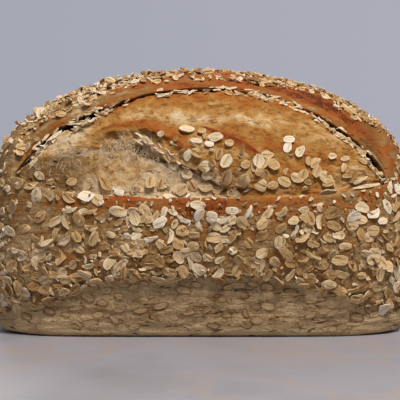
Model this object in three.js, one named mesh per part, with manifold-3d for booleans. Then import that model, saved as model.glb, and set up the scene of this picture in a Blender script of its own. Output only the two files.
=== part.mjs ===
// Honey oat sourdough: a long tin-shaped loaf, rolled in oat flakes before baking.
// One score along the front shoulder has torn open. Below the tear the crust ends in a rolled lip,
// above it a thin ear overhangs, and between them the crumb has burst out, with a flap of floured
// skin lying on it. The whole loaf, flakes included, is one solid that rests on its flat base.
// Lengths are in millimetres. X runs along the loaf, -Y is the scored front and Z is up, with the
// origin at the centre of the base.

import * as THREE from "three";
import { mergeVertices } from "three/addons/utils/BufferGeometryUtils.js";
import Module from "manifold-3d";

// Size of the whole loaf
const HALF_LENGTH = 113;
const BASE_HALF_LENGTH = 109;
const HALF_WIDTH = 60;
const BASE_HALF_WIDTH = 49;
const WIDEST_HEIGHT = 55;
const SHOULDER_HEIGHT = 60;
const RIDGE_HEIGHT = 138.5;
const END_TOP_HEIGHT = 74;

// Base, and the ledge where the dense oats end above the bare lower wall
const BASE_LIFT = 1.5;
const BASE_STRAIGHT = 0.66;
const BASE_END_ROUNDING = 5;
const BASE_EDGE_RADIUS = 4;
const LEDGE_HEIGHT = 32;
const LEDGE_DROP_AT_ENDS = 18;
const LEDGE_OVERHANG = 2.6;

// The torn score: its half length, the height of its lip, and the height of its upper edge
const TEAR_HALF_LENGTH = 97;
const LIP_HEIGHT = 73;
const LIP_RISE_LEFT = 10.5;
const LIP_RISE_RIGHT = 7;
const LIP_ROLL = 3;
const TEAR_END_HEIGHT = 81.5;
const TEAR_RISE = 47.5;
const TEAR_PEAK_SHIFT = 4;
const CRACK_DEPTH = 8;
const CRACK_GAP = 2.2;

// The flap that lies on the burst crumb, and the hollow under its free lower edge
const FLAP_LEFT = -50;
const FLAP_EDGE_HEIGHT = 98.6;
const FLAP_EDGE_TURN = -38;
const FLAP_RIGHT = 18;
const FLAP_TOP_HEIGHT = 110;
const FLAP_THICKNESS = 4.5;
const HOLLOW_DEPTH = 3.5;

// Oat flakes, as rolled: a thin oval each, pressed into the crust
const FLAKE_HALF_LENGTH = 4.6;
const FLAKE_HALF_WIDTH = 3.3;
const FLAKE_ABOVE = 0.9;
const FLAKE_BELOW = 1.1;
const FLAKE_SIDES = 6;
const FLAKE_COUNT = 150;
const FLAKE_TRIES = 9000;
const RANDOM_SEED = 20418;

// Fineness of the surface: cross-sections along the loaf, and points along each stretch of one
const SECTIONS = 49;
const LAST_SECTION = 0.9996;
const BASE_POINTS = 1;
const WALL_POINTS = 2;
const BAND_POINTS = 4;
const HOLLOW_POINTS = 3;
const FLAP_POINTS = 6;
const CROWN_POINTS = 5;
const BACK_POINTS = 8;

const CRUST_COLOUR = 0xa8794a;

function clamp(value) {
  return Math.min(1, Math.max(0, value));
}

function mix(from, to, share) {
  return from + (to - from) * share;
}

function smoothstep(low, high, value) {
  const share = clamp((value - low) / (high - low));
  return share * share * (3 - 2 * share);
}

// Shares from just above 0 up to and including 1, in equal steps
function steps(count) {
  return Array.from({ length: count }, (_, index) => (index + 1) / count);
}

// Form of the loaf without its tear.
// The place along the loaf is u, from -1 at the left end to 1 at the right.

function ridgeHeight(u) {
  return mix(END_TOP_HEIGHT, RIDGE_HEIGHT, (1 - u * u) ** 0.43);
}

function shoulderHeight(u) {
  return SHOULDER_HEIGHT - 12 * smoothstep(0.8, 1, Math.abs(u));
}

function ledgeHeight(u) {
  return LEDGE_HEIGHT - LEDGE_DROP_AT_ENDS * smoothstep(0.3, 0.95, Math.abs(u));
}

function baseHeight(u) {
  const away = Math.abs(u);
  return BASE_LIFT * smoothstep(BASE_STRAIGHT, 1, away) + BASE_END_ROUNDING * smoothstep(0.95, 1, away);
}

// The wall leans out from the base to the widest height
function swell(height) {
  return Math.sin((Math.PI / 2) * clamp(height / WIDEST_HEIGHT)) ** 0.9;
}

function halfLength(height) {
  return mix(BASE_HALF_LENGTH, HALF_LENGTH, swell(height));
}

function wallReach(height) {
  return mix(BASE_HALF_WIDTH, HALF_WIDTH, swell(height));
}

// Half width of the domed top, a superellipse over the shoulder
function domeReach(u, height) {
  const shoulder = shoulderHeight(u);
  if (height < shoulder) {
    return wallReach(height);
  }
  const rise = clamp((height - shoulder) / (ridgeHeight(u) - shoulder));
  return HALF_WIDTH * (1 - rise ** 2.2) ** (1 / 2.2);
}

// Seen from above the loaf is a rounded rectangle: squarer at the base than at the ridge
function planTaper(u, height) {
  const squareness = mix(4.2, 2.8, clamp(height / RIDGE_HEIGHT));
  return (1 - Math.abs(u) ** squareness) ** (1 / squareness);
}

// The heights that follow the tear along the front.
// Past the tear's ends they run on as plain levels of the dome.

function beyondTear(u) {
  return smoothstep(0.845, 0.95, Math.abs(u));
}

function openness(u) {
  return smoothstep(0, 1, (0.875 - Math.abs(u)) / 0.07);
}

// Place along the tear, from -1 at its left end to 1 at its right end
function tearPlace(u) {
  return Math.max(-1, Math.min(1, (u * HALF_LENGTH) / TEAR_HALF_LENGTH));
}

function lipHeight(u) {
  const along = tearPlace(u);
  const rise = mix(LIP_RISE_LEFT, LIP_RISE_RIGHT, smoothstep(-0.4, 0.4, along));
  const lip = LIP_HEIGHT + rise * along ** 4;
  const level = mix(shoulderHeight(u), ridgeHeight(u), 0.3);
  return mix(lip, level, beyondTear(u));
}

function crackHeight(u) {
  const along = tearPlace(u);
  const fromPeak = along - (TEAR_PEAK_SHIFT / TEAR_HALF_LENGTH) * (1 - along * along);
  const fall = mix(0.66, 0.76, smoothstep(-0.2, 0.4, along));
  const crack = TEAR_END_HEIGHT + TEAR_RISE * (1 - fromPeak * fromPeak) ** fall;
  const level = mix(shoulderHeight(u), ridgeHeight(u), 0.68);
  return Math.max(mix(crack, level, beyondTear(u)), lipHeight(u) + 2);
}

// Lower edge of the flap: level at its left end, then falling faster and faster to meet the lip
function flapEdgeHeight(u) {
  const past = Math.max(0, u * HALF_LENGTH - FLAP_EDGE_TURN);
  const edge = FLAP_EDGE_HEIGHT - 0.3 * past - 0.0028 * past * past;
  const lip = lipHeight(u);
  const gap = crackHeight(u) - lip;
  return Math.min(Math.max(edge, lip + 0.08 * gap), lip + 0.6 * gap);
}

// Upper edge of the flap, where it melts into the smooth burst crumb
function flapTopHeight(x) {
  return FLAP_TOP_HEIGHT - 12 * smoothstep(-5, 45, x) - 9 * smoothstep(60, 95, x);
}

function flapShare(x) {
  return smoothstep(FLAP_LEFT - 7, FLAP_LEFT + 2, x) * (1 - smoothstep(FLAP_RIGHT, FLAP_RIGHT + 40, x));
}

function hollowShare(x) {
  return smoothstep(-88, -60, x) * (1 - smoothstep(FLAP_RIGHT - 22, FLAP_RIGHT + 6, x));
}

// How far the burst crumb reaches out at a height between the lip and the crack
function crumbReach(u, height) {
  const lip = lipHeight(u);
  const crack = crackHeight(u);
  const rise = clamp((height - lip) / (crack - lip));
  const inner = 0.84 * domeReach(u, crack);
  const outer = domeReach(u, lip) - 8.5;
  return inner + (outer - inner) * (1 - rise ** 2.2) ** 0.73;
}

// One stretch of the plain dome as [reach, height] points, from a height up to the ridge
function domePoints(u, fromHeight, count) {
  const shoulder = shoulderHeight(u);
  const height = ridgeHeight(u) - shoulder;
  const start = Math.asin(clamp((fromHeight - shoulder) / height) ** 1.1);
  return steps(count).map((share) => {
    const angle = mix(start, Math.PI / 2, share);
    const reach = HALF_WIDTH * Math.max(0, Math.cos(angle)) ** (2 / 2.2);
    return [reach, shoulder + height * Math.sin(angle) ** (2 / 2.2)];
  });
}

// Half width of the flat base. Its long sides are straight, so the plan's taper is undone there.
function flatReach(u) {
  const flat = BASE_HALF_WIDTH - BASE_EDGE_RADIUS;
  const straight = flat / Math.max(0.5, planTaper(u, 0));
  return Math.abs(u) > BASE_STRAIGHT ? Math.min(flat + 2, straight) : straight;
}

// From the middle of the base out to its rounded edge, up the bare wall and over the ledge
function lowerPoints(u) {
  const base = baseHeight(u);
  const ledge = ledgeHeight(u);
  const flat = BASE_HALF_WIDTH - BASE_EDGE_RADIUS;
  const points = steps(BASE_POINTS).map((share) => [flatReach(u) * share, base]);
  points.push([flat + 0.72 * BASE_EDGE_RADIUS, base + 0.3 * BASE_EDGE_RADIUS]);
  points.push([wallReach(base + BASE_EDGE_RADIUS), base + BASE_EDGE_RADIUS]);
  for (const share of steps(WALL_POINTS)) {
    const height = mix(base + BASE_EDGE_RADIUS, ledge - 1, share);
    points.push([wallReach(height) - LEDGE_OVERHANG * share, height]);
  }
  points.push([wallReach(ledge) + 0.3, ledge + 2]);
  return points;
}

// The oat-covered band of the wall, from the ledge up to a given height
function bandPoints(u, toHeight) {
  const ledge = ledgeHeight(u) + 2;
  return steps(BAND_POINTS).map((share) => {
    const height = mix(ledge, toHeight, share);
    return [domeReach(u, height), height];
  });
}

// Across the tear: the rolled lip, the hollow, the flap or bare crumb, the crack and the ear
function tearPoints(u) {
  const x = u * HALF_LENGTH;
  const lip = lipHeight(u);
  const crack = crackHeight(u);
  const edge = flapEdgeHeight(u);
  const outer = domeReach(u, lip);
  const ear = 0.84 * domeReach(u, crack);
  const hollow = HOLLOW_DEPTH * hollowShare(x);
  const flap = FLAP_THICKNESS * flapShare(x);
  const points = [
    [outer - 2.5, lip - 0.3],
    [outer - 2.5 - LIP_ROLL * 0.8, lip - 0.5],
    [outer - 2.5 - LIP_ROLL * 1.5, lip - LIP_ROLL],
  ];
  for (const share of steps(HOLLOW_POINTS)) {
    const height = mix(lip, edge, share);
    points.push([crumbReach(u, height) - hollow * Math.sin(Math.PI * Math.min(share, 0.7)), height]);
  }
  for (const share of steps(FLAP_POINTS)) {
    const height = mix(edge - 1, crack - CRACK_GAP, (share * FLAP_POINTS - 1) / (FLAP_POINTS - 1));
    const raised = flap * (1 - smoothstep(flapTopHeight(x) - 4, flapTopHeight(x) + 5, height));
    points.push([crumbReach(u, height) + raised, height + 0.3 * raised]);
  }
  points.push([ear - CRACK_DEPTH, crack - CRACK_GAP - 3.5]);
  points.push([ear - 0.6 * CRACK_DEPTH, crack - 0.8]);
  points.push([ear, crack]);
  return points;
}

// From the ear's tip over the crown to the ridge
function crownPoints(u) {
  const crack = crackHeight(u);
  const ear = 0.84 * domeReach(u, crack);
  const ridge = ridgeHeight(u);
  return steps(CROWN_POINTS).map((share) => {
    const climb = 1 - (1 - share) ** 2;
    return [ear * (1 - climb ** 1.5) ** 0.75, mix(crack, ridge, climb)];
  });
}

// One closed cross-section as [y, z] points, from the middle of the base round by the front
function crossSection(u) {
  const lip = lipHeight(u);
  const open = openness(u);
  const torn = [...tearPoints(u), ...crownPoints(u)];
  const plain = domePoints(u, lip - LIP_ROLL, torn.length);
  const top = torn.map(([reach, height], index) => [
    mix(plain[index][0], reach, open),
    mix(plain[index][1], height, open),
  ]);
  const front = [...lowerPoints(u), ...bandPoints(u, lip - LIP_ROLL), ...top];
  const shoulder = shoulderHeight(u);
  const back = [
    ...lowerPoints(u),
    ...bandPoints(u, shoulder),
    ...domePoints(u, shoulder, BACK_POINTS).slice(0, -1),
  ];
  const loop = [[0, baseHeight(u)]];
  loop.push(...front.map(([reach, height]) => [-reach, height]));
  loop.push(...back.reverse());
  return loop;
}

// Slow unevenness of hand-shaped dough, nothing at the base
function unevenness(x, y, z) {
  const wave =
    Math.sin(x / 31 + 0.6) * Math.sin(z / 23 + y / 40) +
    0.6 * Math.sin(x / 15 + z / 19 + 1.7) +
    0.4 * Math.sin(x / 9 - z / 11 + y / 13);
  return 0.75 * wave * smoothstep(4, 24, z);
}

function placeOnLoaf(u, [y, z]) {
  const taper = planTaper(u, z);
  const x = u * halfLength(z);
  const lump = unevenness(x, y, z) / Math.max(HALF_WIDTH, Math.abs(y));
  return new THREE.Vector3(x, y * taper * (1 + lump), z);
}

// Places of the cross-sections, at equal steps round the loaf's outline as seen from above
function sectionPlaces(count) {
  const fine = 2000;
  const lengths = [0];
  const outline = (index) => {
    const u = LAST_SECTION * Math.sin((index / fine) * (Math.PI / 2));
    return new THREE.Vector2(u * HALF_LENGTH, planTaper(u, WIDEST_HEIGHT) * HALF_WIDTH);
  };
  for (let index = 1; index <= fine; index += 1) {
    lengths.push(lengths[index - 1] + outline(index).distanceTo(outline(index - 1)));
  }
  const half = (count - 1) / 2;
  const places = [];
  let index = 0;
  for (let step = 0; step <= half; step += 1) {
    while (index < fine && lengths[index] < (lengths[fine] * step) / half) {
      index += 1;
    }
    places.push(outline(index).x / HALF_LENGTH);
  }
  return [...places.slice(1).reverse().map((place) => -place), ...places];
}

// The loaf's skin as a grid of points: one row for each cross-section
function skinGrid() {
  return sectionPlaces(SECTIONS).map((u) => crossSection(u).map((point) => placeOnLoaf(u, point)));
}

// A closed mesh from the grid, each end shut by a fan to a point on the axis
function skinGeometry(grid) {
  const columns = grid[0].length;
  const positions = grid.flat().flatMap((point) => point.toArray());
  const triangles = [];
  for (let row = 0; row < grid.length - 1; row += 1) {
    for (let column = 0; column < columns; column += 1) {
      const next = (column + 1) % columns;
      const a = row * columns + column;
      const b = row * columns + next;
      const c = (row + 1) * columns + next;
      const d = (row + 1) * columns + column;
      triangles.push(a, d, b, b, d, c);
    }
  }
  for (const [row, side] of [[0, -1], [grid.length - 1, 1]]) {
    const middle = grid[row].reduce((sum, point) => sum.add(point), new THREE.Vector3());
    middle.divideScalar(columns);
    middle.x = side * halfLength(middle.z);
    const pole = positions.length / 3;
    positions.push(...middle.toArray());
    for (let column = 0; column < columns; column += 1) {
      const here = row * columns + column;
      const next = row * columns + ((column + 1) % columns);
      triangles.push(...(side < 0 ? [pole, here, next] : [pole, next, here]));
    }
  }
  const geometry = new THREE.BufferGeometry();
  geometry.setAttribute("position", new THREE.Float32BufferAttribute(positions, 3));
  geometry.setIndex(triangles);
  return geometry;
}

// Random numbers from 0 to 1 that come out the same each time
function seededRandom(seed) {
  let state = seed;
  return () => {
    state = (state + 0x6d2b79f5) | 0;
    let bits = Math.imul(state ^ (state >>> 15), 1 | state);
    bits = (bits + Math.imul(bits ^ (bits >>> 7), 61 | bits)) ^ bits;
    return ((bits ^ (bits >>> 14)) >>> 0) / 4294967296;
  };
}

// Closest that two flakes may lie, by where they are: dense on the band and the crown,
// loose on the flap, and none on the bare wall, the hollow or the smooth crumb above the flap
function flakeSpacing(point, u) {
  const { x, y, z } = point;
  const margin = 5;
  if (z < ledgeHeight(u) + margin || Math.abs(u) > 0.97) {
    return Infinity;
  }
  if (y > 0 || Math.abs(u) > 0.9) {
    return 17;
  }
  const lip = lipHeight(u);
  const crack = crackHeight(u);
  if (z < lip - margin - LIP_ROLL) {
    return 10.5;
  }
  if (z > crack + 2.5) {
    return 11.5;
  }
  const onFlap = z > flapEdgeHeight(u) + margin && z < Math.min(flapTopHeight(x), crack - 8);
  return onFlap && x > FLAP_LEFT ? 10.5 : Infinity;
}

// Flake places: cells of the skin drawn at random, kept where they are far enough from the others
function flakePlaces(grid) {
  const random = seededRandom(RANDOM_SEED);
  const places = [];
  for (let attempt = 0; attempt < FLAKE_TRIES && places.length < FLAKE_COUNT; attempt += 1) {
    const row = 1 + Math.floor(random() * (grid.length - 3));
    const column = Math.floor(random() * grid[0].length);
    const next = (column + 1) % grid[0].length;
    const corner = grid[row][column];
    const along = grid[row + 1][column].clone().sub(corner);
    const across = grid[row][next].clone().sub(corner);
    const point = corner.clone().addScaledVector(along, random()).addScaledVector(across, random());
    const normal = along.clone().cross(across).normalize();
    const spacing = flakeSpacing(point, point.x / halfLength(point.z));
    const turn = random() * Math.PI;
    const size = 0.85 + 0.3 * random();
    const outward = new THREE.Vector3(0, point.y, point.z - SHOULDER_HEIGHT).normalize();
    const facesOut = normal.dot(outward) > 0.4 || Math.abs(point.x) > 0.9 * HALF_LENGTH;
    if (facesOut && places.every((place) => place.point.distanceTo(point) > spacing)) {
      places.push({ point, normal, turn, size });
    }
  }
  return places;
}

// One flake: a thin six-sided oval, sunk a little into the crust
function flakeGeometry({ point, normal, turn, size }) {
  const outline = steps(FLAKE_SIDES).map((share) => {
    const angle = 2 * Math.PI * share + 0.4 * Math.sin(5 * turn + 7 * share);
    const corner = new THREE.Vector2(Math.cos(angle) * FLAKE_HALF_LENGTH, Math.sin(angle) * FLAKE_HALF_WIDTH);
    return corner.multiplyScalar(size);
  });
  const depth = FLAKE_ABOVE + FLAKE_BELOW;
  const geometry = new THREE.ExtrudeGeometry(new THREE.Shape(outline), { depth, bevelEnabled: false });
  geometry.translate(0, 0, -FLAKE_BELOW);
  geometry.rotateZ(turn);
  const stand = new THREE.Quaternion().setFromUnitVectors(new THREE.Vector3(0, 0, 1), normal);
  geometry.applyQuaternion(stand);
  geometry.translate(point.x, point.y, point.z);
  return geometry;
}

const wasm = await Module();
wasm.setup();

function toSolid(geometry) {
  const bare = geometry.clone();
  bare.deleteAttribute("normal");
  bare.deleteAttribute("uv");
  const merged = mergeVertices(bare, 1e-4);
  const vertProperties = new Float32Array(merged.attributes.position.array);
  const triVerts = new Uint32Array(merged.index.array);
  return new wasm.Manifold(new wasm.Mesh({ numProp: 3, vertProperties, triVerts }));
}

function toGeometry(solid) {
  const mesh = solid.getMesh();
  const geometry = new THREE.BufferGeometry();
  geometry.setAttribute("position", new THREE.BufferAttribute(mesh.vertProperties, 3));
  geometry.setIndex(new THREE.BufferAttribute(mesh.triVerts, 1));
  geometry.computeVertexNormals();
  return geometry;
}

// The skin with its flakes fused on, as one body
function loafGeometry() {
  const grid = skinGrid();
  let solid = toSolid(skinGeometry(grid));
  for (const place of flakePlaces(grid)) {
    solid = solid.add(toSolid(flakeGeometry(place)));
  }
  return toGeometry(solid);
}

const loaf = new THREE.Mesh(
  loafGeometry(),
  new THREE.MeshStandardMaterial({ color: CRUST_COLOUR, roughness: 0.75, metalness: 0 }),
);
loaf.name = "loaf";

const bread = new THREE.Group();
bread.add(loaf);

export default bread;
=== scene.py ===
# Honey oat sourdough: a long tin-shaped loaf, rolled in oat flakes, torn open along one score.
# The crust, the burst crumb, the torn skin and the flakes are surfaces worked out with numpy in
# millimetres, in the frame's axes: X along the loaf, -Y the torn front and Z up.

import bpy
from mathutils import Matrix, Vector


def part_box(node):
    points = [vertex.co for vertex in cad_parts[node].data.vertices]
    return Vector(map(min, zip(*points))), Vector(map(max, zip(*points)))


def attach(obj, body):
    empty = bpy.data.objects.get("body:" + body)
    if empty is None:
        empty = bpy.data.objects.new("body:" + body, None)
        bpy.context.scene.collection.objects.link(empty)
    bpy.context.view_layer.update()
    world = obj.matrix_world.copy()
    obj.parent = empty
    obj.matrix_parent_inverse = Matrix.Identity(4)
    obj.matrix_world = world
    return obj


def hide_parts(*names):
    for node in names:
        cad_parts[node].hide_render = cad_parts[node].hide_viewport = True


bl_info = {
    "name": "Honey Oat Sourdough",
    "version": (1, 0, 0),
    "blender": (4, 5, 0),
    "location": "View3D > Sidebar > Loaf",
    "description": "Makes a sourdough loaf with a torn score and the oat flakes that it is rolled in",
    "category": "Add Mesh",
}

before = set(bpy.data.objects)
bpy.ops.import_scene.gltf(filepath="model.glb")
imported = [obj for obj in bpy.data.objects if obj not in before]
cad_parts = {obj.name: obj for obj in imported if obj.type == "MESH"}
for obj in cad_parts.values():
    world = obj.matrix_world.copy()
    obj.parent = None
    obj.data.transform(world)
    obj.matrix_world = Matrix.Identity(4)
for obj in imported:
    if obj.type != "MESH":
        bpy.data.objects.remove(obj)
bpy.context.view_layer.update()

import functools
import math

import bmesh
import bpy
import numpy as np
from mathutils import Vector

LOAF_TOP = float(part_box("loaf")[1].z)
MM = 0.001

# How far the highest flakes of the solid stand over its crown, in millimetres
FLAKE_RISE = 1.0

# Camera, from the photograph: a long lens almost level with the loaf
CAMERA_RISE_DEG = 3.5
CAMERA_DISTANCE = 0.680
CAMERA_LENS = 120.0
CAMERA_TARGET = (0.0, -0.055, 0.0715)

# Stage, in metres: side of the floor, colours of the plain wall behind and of the room above, and
# the soft lights, each with its name, its place, its side and its power in watts
FLOOR_SIDE = 6.0
WALL_LEFT, WALL_RIGHT, ROOM_ABOVE = "A5A7B3", "ACADB9", "686A6A"
LIGHT_COLOUR = "FFFDFA"
LIGHT_AIM = (0.0, 0.0, 0.06)
LIGHTS = (
    ("key", (0.20, -0.50, 0.93), 0.30, 11.2),
    ("back_fill", (-0.25, 0.95, 0.80), 0.60, 4.5),
)

# Fineness of the crust: rows along the loaf, and steps along each stretch of a cross-section
CRUST_ROWS = 352
BASE_STEPS = 3
EDGE_STEPS = 6
WALL_STEPS = 26
LEDGE_STEPS = 8
BAND_STEPS = 44
ROLL_STEPS = 12
FLOOR_STEPS = 10
CRACK_STEPS = 8
CROWN_STEPS = 60
LIP_COLUMN = BASE_STEPS + EDGE_STEPS + WALL_STEPS + LEDGE_STEPS + BAND_STEPS + ROLL_STEPS
EAR_COLUMN = LIP_COLUMN + FLOOR_STEPS + CRACK_STEPS

# Fineness of the burst crumb
CRUMB_ROWS = 440
HOLLOW_STEPS = 62
FLAP_STEPS = 104
TURN_STEPS = 8
INNER_STEPS = 14
OUTER_STEPS = HOLLOW_STEPS + FLAP_STEPS

# Ends of the burst crumb, as u: there it begins to draw back, its relief ends, and it stops
CRUMB_FADE = 0.83
RELIEF_END = 0.86
CRUMB_END = 0.868

# Lines of the torn crumb: place along the loaf, height, and for the rims also half their width
FLAP_EDGE = (
    (-52, 98.0), (-37, 98.6), (-31, 96.0), (-22, 92.4), (-10, 90.0),
    (-2, 86.6), (4, 83.0), (9, 79.5), (13, 76.2), (30, 69.0),
)
FLAP_TOP = (
    (-56, 106.5), (-47, 108.6), (-37, 110.1), (-29, 110.4), (-22, 109.0), (-16, 106.8), (-10, 106.0),
    (-4, 107.2), (1.5, 107.8), (7, 106.3), (15, 103.0), (22, 100.1), (26, 96.8), (31, 93.2), (45, 88.0),
)
LEFT_RIM = (
    (-50.0, 107.6, 0.5), (-45.9, 108.4, 0.8), (-37.0, 109.8, 1.0), (-29.2, 110.0, 1.7), (-22.9, 108.8, 2.2),
    (-19.6, 107.1, 2.7), (-14.4, 104.1, 2.9), (-9.9, 100.5, 2.8), (-6.6, 97.5, 1.8),
)
RIGHT_RIM = (
    (1.5, 107.8, 0.9), (7.2, 106.3, 1.3), (14.7, 103.0, 1.9), (22.1, 100.1, 2.2),
    (26.4, 96.8, 2.0), (30.8, 93.2, 1.1),
)

# Open crack under the ear: place along the loaf, and its height against the usual one
CRACK_WIDTH = (
    (-95.0, 3.0), (-80.0, 2.1), (-62.0, 1.4), (-45.0, 1.0), (-25.0, 0.65), (50.0, 0.6), (80.0, 1.7),
)

# Heights above the crack between which the look of the bare crown fades, in millimetres
CROWN_FADE = (10.0, 18.0)

# Paler and browner patches of the crumb: place along the loaf, height, half length, half height,
# slope and how much browner
CRUMB_PATCHES = (
    (2.6, 121.1, 10.0, 2.2, 0.0, -0.16),
    (-13.0, 114.6, 38.0, 3.6, -0.02, -0.20),
    (24.0, 112.0, 13.0, 2.8, -0.25, -0.16),
    (28.4, 106.5, 16.0, 4.5, -0.35, 0.14),
    (39.0, 113.4, 8.0, 2.0, -0.25, -0.16),
    (47.0, 114.8, 7.0, 1.6, -0.45, -0.12),
    (60.7, 104.4, 8.0, 3.6, -0.5, -0.15),
    (60.9, 95.7, 11.0, 4.5, 0.0, 0.16),
    (38.6, 99.4, 8.0, 2.8, -0.1, 0.26),
    (-41.0, 87.0, 15.0, 6.5, 0.1, 0.20),
    (88.0, 84.0, 7.0, 8.0, 0.0, -0.15),
    (-62.0, 107.0, 13.0, 6.0, 0.5, -0.16),
    (72.0, 103.0, 13.0, 8.0, -0.5, -0.15),
)

# Large flakes on the crumb: place along the loaf, height, length, width, turn in degrees and tone
LARGE_FLAKES = (
    (-6.7, 106.7, 8.4, 6.0, -8, 0.78), (1.3, 106.0, 4.6, 3.8, 10, 0.45), (8.1, 103.2, 7.8, 4.8, 0, 0.72),
    (-19.8, 105.1, 3.8, 3.2, 20, 0.75), (-2.1, 101.4, 6.4, 2.6, -12, 0.9), (4.6, 99.9, 4.8, 3.4, -5, 0.98),
    (-6.2, 94.3, 6.4, 4.2, 75, 0.85), (-2.1, 95.3, 6.4, 4.8, -20, 0.4), (10.1, 94.8, 6.0, 3.8, 70, 0.35),
    (13.3, 91.2, 7.6, 6.0, 60, 0.75), (3.1, 88.7, 6.4, 6.0, 10, 0.8), (6.8, 86.6, 5.4, 4.4, -25, 0.45),
    (13.6, 83.0, 7.8, 6.2, 75, 0.5), (22.1, 81.5, 7.6, 6.6, 35, 0.6), (23.1, 89.7, 5.2, 4.6, 0, 0.45),
    (29.3, 90.7, 7.2, 6.8, 80, 0.8), (37.5, 89.2, 6.6, 6.0, 20, 0.45), (34.4, 94.3, 6.4, 4.4, -5, 0.6),
    (45.7, 101.7, 6.4, 4.2, 0, 0.95), (44.8, 97.8, 6.2, 4.2, 70, 0.98), (51.5, 95.8, 6.6, 4.6, 55, 0.8),
    (43.1, 80.5, 7.0, 5.4, -30, 0.55), (49.7, 82.5, 7.4, 4.8, -30, 0.6), (16.4, 76.4, 6.4, 4.8, 60, 0.5),
    (-13.5, 90.2, 7.8, 6.4, 80, 0.66), (-25.6, 80.0, 7.4, 5.4, 85, 0.5), (-20.5, 79.5, 6.2, 2.6, 75, 0.45),
    (-6.7, 84.6, 6.6, 4.8, -15, 0.7), (3.1, 77.9, 7.8, 4.8, 0, 0.62), (-9.2, 76.4, 6.6, 6.2, 40, 0.6),
    (-41.1, 75.6, 5.4, 5.0, 0, 0.95), (68.0, 93.3, 4.6, 3.4, 10, 0.7), (75.1, 92.1, 5.4, 2.8, 5, 0.65),
    (84.3, 94.9, 5.6, 2.6, 5, 0.5), (84.8, 90.6, 5.6, 3.0, -20, 0.5), (60.1, 85.7, 6.4, 5.2, 60, 0.5),
    (52.9, 84.0, 6.8, 5.0, 70, 0.55), (73.9, 87.5, 5.2, 3.0, 70, 0.6), (75.8, 83.0, 5.4, 1.8, 5, 0.65),
    (59.2, 90.1, 6.8, 4.6, 40, 0.5), (30.5, 86.0, 6.2, 4.6, 15, 0.45), (66.0, 80.0, 6.4, 4.4, 0, 0.5),
    (37.0, 79.0, 6.2, 4.0, 10, 0.5), (-33.0, 77.4, 6.0, 3.6, 20, 0.6), (-58.0, 78.6, 6.6, 4.6, 70, 0.5),
    (-66.0, 80.5, 5.8, 4.2, 15, 0.55),
)

# Long slivers of torn skin: place along the loaf, height, length, width, turn in degrees and tone
LONG_SLIVERS = (
    (87.2, 77.8, 19.5, 2.0, 10, 0.9), (73.0, 108.6, 9.0, 2.2, -27, 0.8),
    (63.8, 114.0, 10.5, 1.8, -29, 0.6), (82.5, 100.0, 12.5, 1.8, -45, 0.6),
    (-85.2, 91.4, 13.5, 1.8, 50, 0.6), (-66.6, 112.3, 15.0, 1.8, 30, 0.7),
    (-60.2, 113.4, 12.0, 2.0, 26, 0.8), (-75.3, 103.3, 11.0, 2.0, 58, 0.8),
    (87.5, 93.5, 8.0, 1.6, -58, 0.6), (84.0, 98.5, 7.0, 1.2, -40, 0.4), (78.5, 103.0, 7.5, 1.5, -52, 0.7),
)

# Short slivers of torn skin: stretches of the crack with the number tried on each, how many run
# down under the flap's left rim, and which way all of them face
SLIVER_GROUPS = ((-90.0, -46.0, 110), (-46.0, 4.0, 34), (4.0, 94.0, 110))
RIM_SLIVERS = 34
SLIVER_FACING = (0.0, -0.8, 0.6)

# Strands of gluten: how many, points along each, and sides
STRANDS = 400
STRAND_POINTS = 8
STRAND_SIDES = 4

# Layers of flakes: spacing as a share of the densest, how much looser they lie near the lip, which
# is also the millimetres of its edge that stay bare, number of places tried and seed of the draws
LOWER_LAYER = (1.0, 1.75, 26000, 11)
UPPER_LAYER = (2.6, 1.75, 6000, 21)
BITS_LAYER = (0.62, 1.0, 34000, 41)
CRUST_TRIES_PER_CRUMB_TRY = 6
WALL_TRIES = 9000
WALL_SEED = 51
STRAND_SEED = 8
SKIN_SEED = 9
FLAKE_SEED = 5


# Small helpers

def mix(start, end, share):
    """The value that lies the given share of the way from start to end."""
    return start + (end - start) * share


def smooth(low, high, value):
    """0 below low, 1 above high, and an S-curve without corners between them."""
    share = np.clip((value - low) / (high - low), 0.0, 1.0)
    return share * share * (3.0 - 2.0 * share)


def bump(centre, width, value):
    """A bell that is 1 at the centre and fades over the width on both sides."""
    return np.exp(-(((value - centre) / width) ** 2))


def table(x, pairs):
    """A value for each x, read between the pairs of a table."""
    places, values = zip(*pairs)
    return np.interp(x, places, values)


def shares(count):
    """Equal steps from 0 up to just below 1, as a row."""
    return (np.arange(count) / count)[None, :]


def in_front_plane(x, z):
    """Points in the plane of the loaf's front, for patterns that don't change with depth."""
    return np.stack([x, np.zeros_like(x), z], axis=-1)


def unit(vectors):
    """The same directions with a length of 1."""
    length = np.linalg.norm(vectors, axis=-1, keepdims=True)
    return vectors / np.maximum(length, 1e-9)


def stripe(x, z, line):
    """A bell across a bent line, whose corners are given by place, height and half width."""
    best = np.zeros_like(x)
    for (x0, z0, w0), (x1, z1, w1) in zip(line, line[1:]):
        dx, dz = x1 - x0, z1 - z0
        along = np.clip(((x - x0) * dx + (z - z0) * dz) / (dx * dx + dz * dz), 0.0, 1.0)
        gap = np.hypot(x - x0 - along * dx, z - z0 - along * dz)
        best = np.maximum(best, bump(0.0, mix(w0, w1, along), gap))
    return best


# Noise on whole arrays of points

NOISE_TABLE = np.random.default_rng(71).uniform(-1.0, 1.0, 256)
NOISE_ORDER = np.random.default_rng(72).permutation(256)


def lattice(x, y, z):
    """A number from 0 to 255 for each lattice point, the same each time."""
    first = NOISE_ORDER[x & 255]
    second = NOISE_ORDER[(first + y) & 255]
    return NOISE_ORDER[(second + z) & 255]


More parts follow.
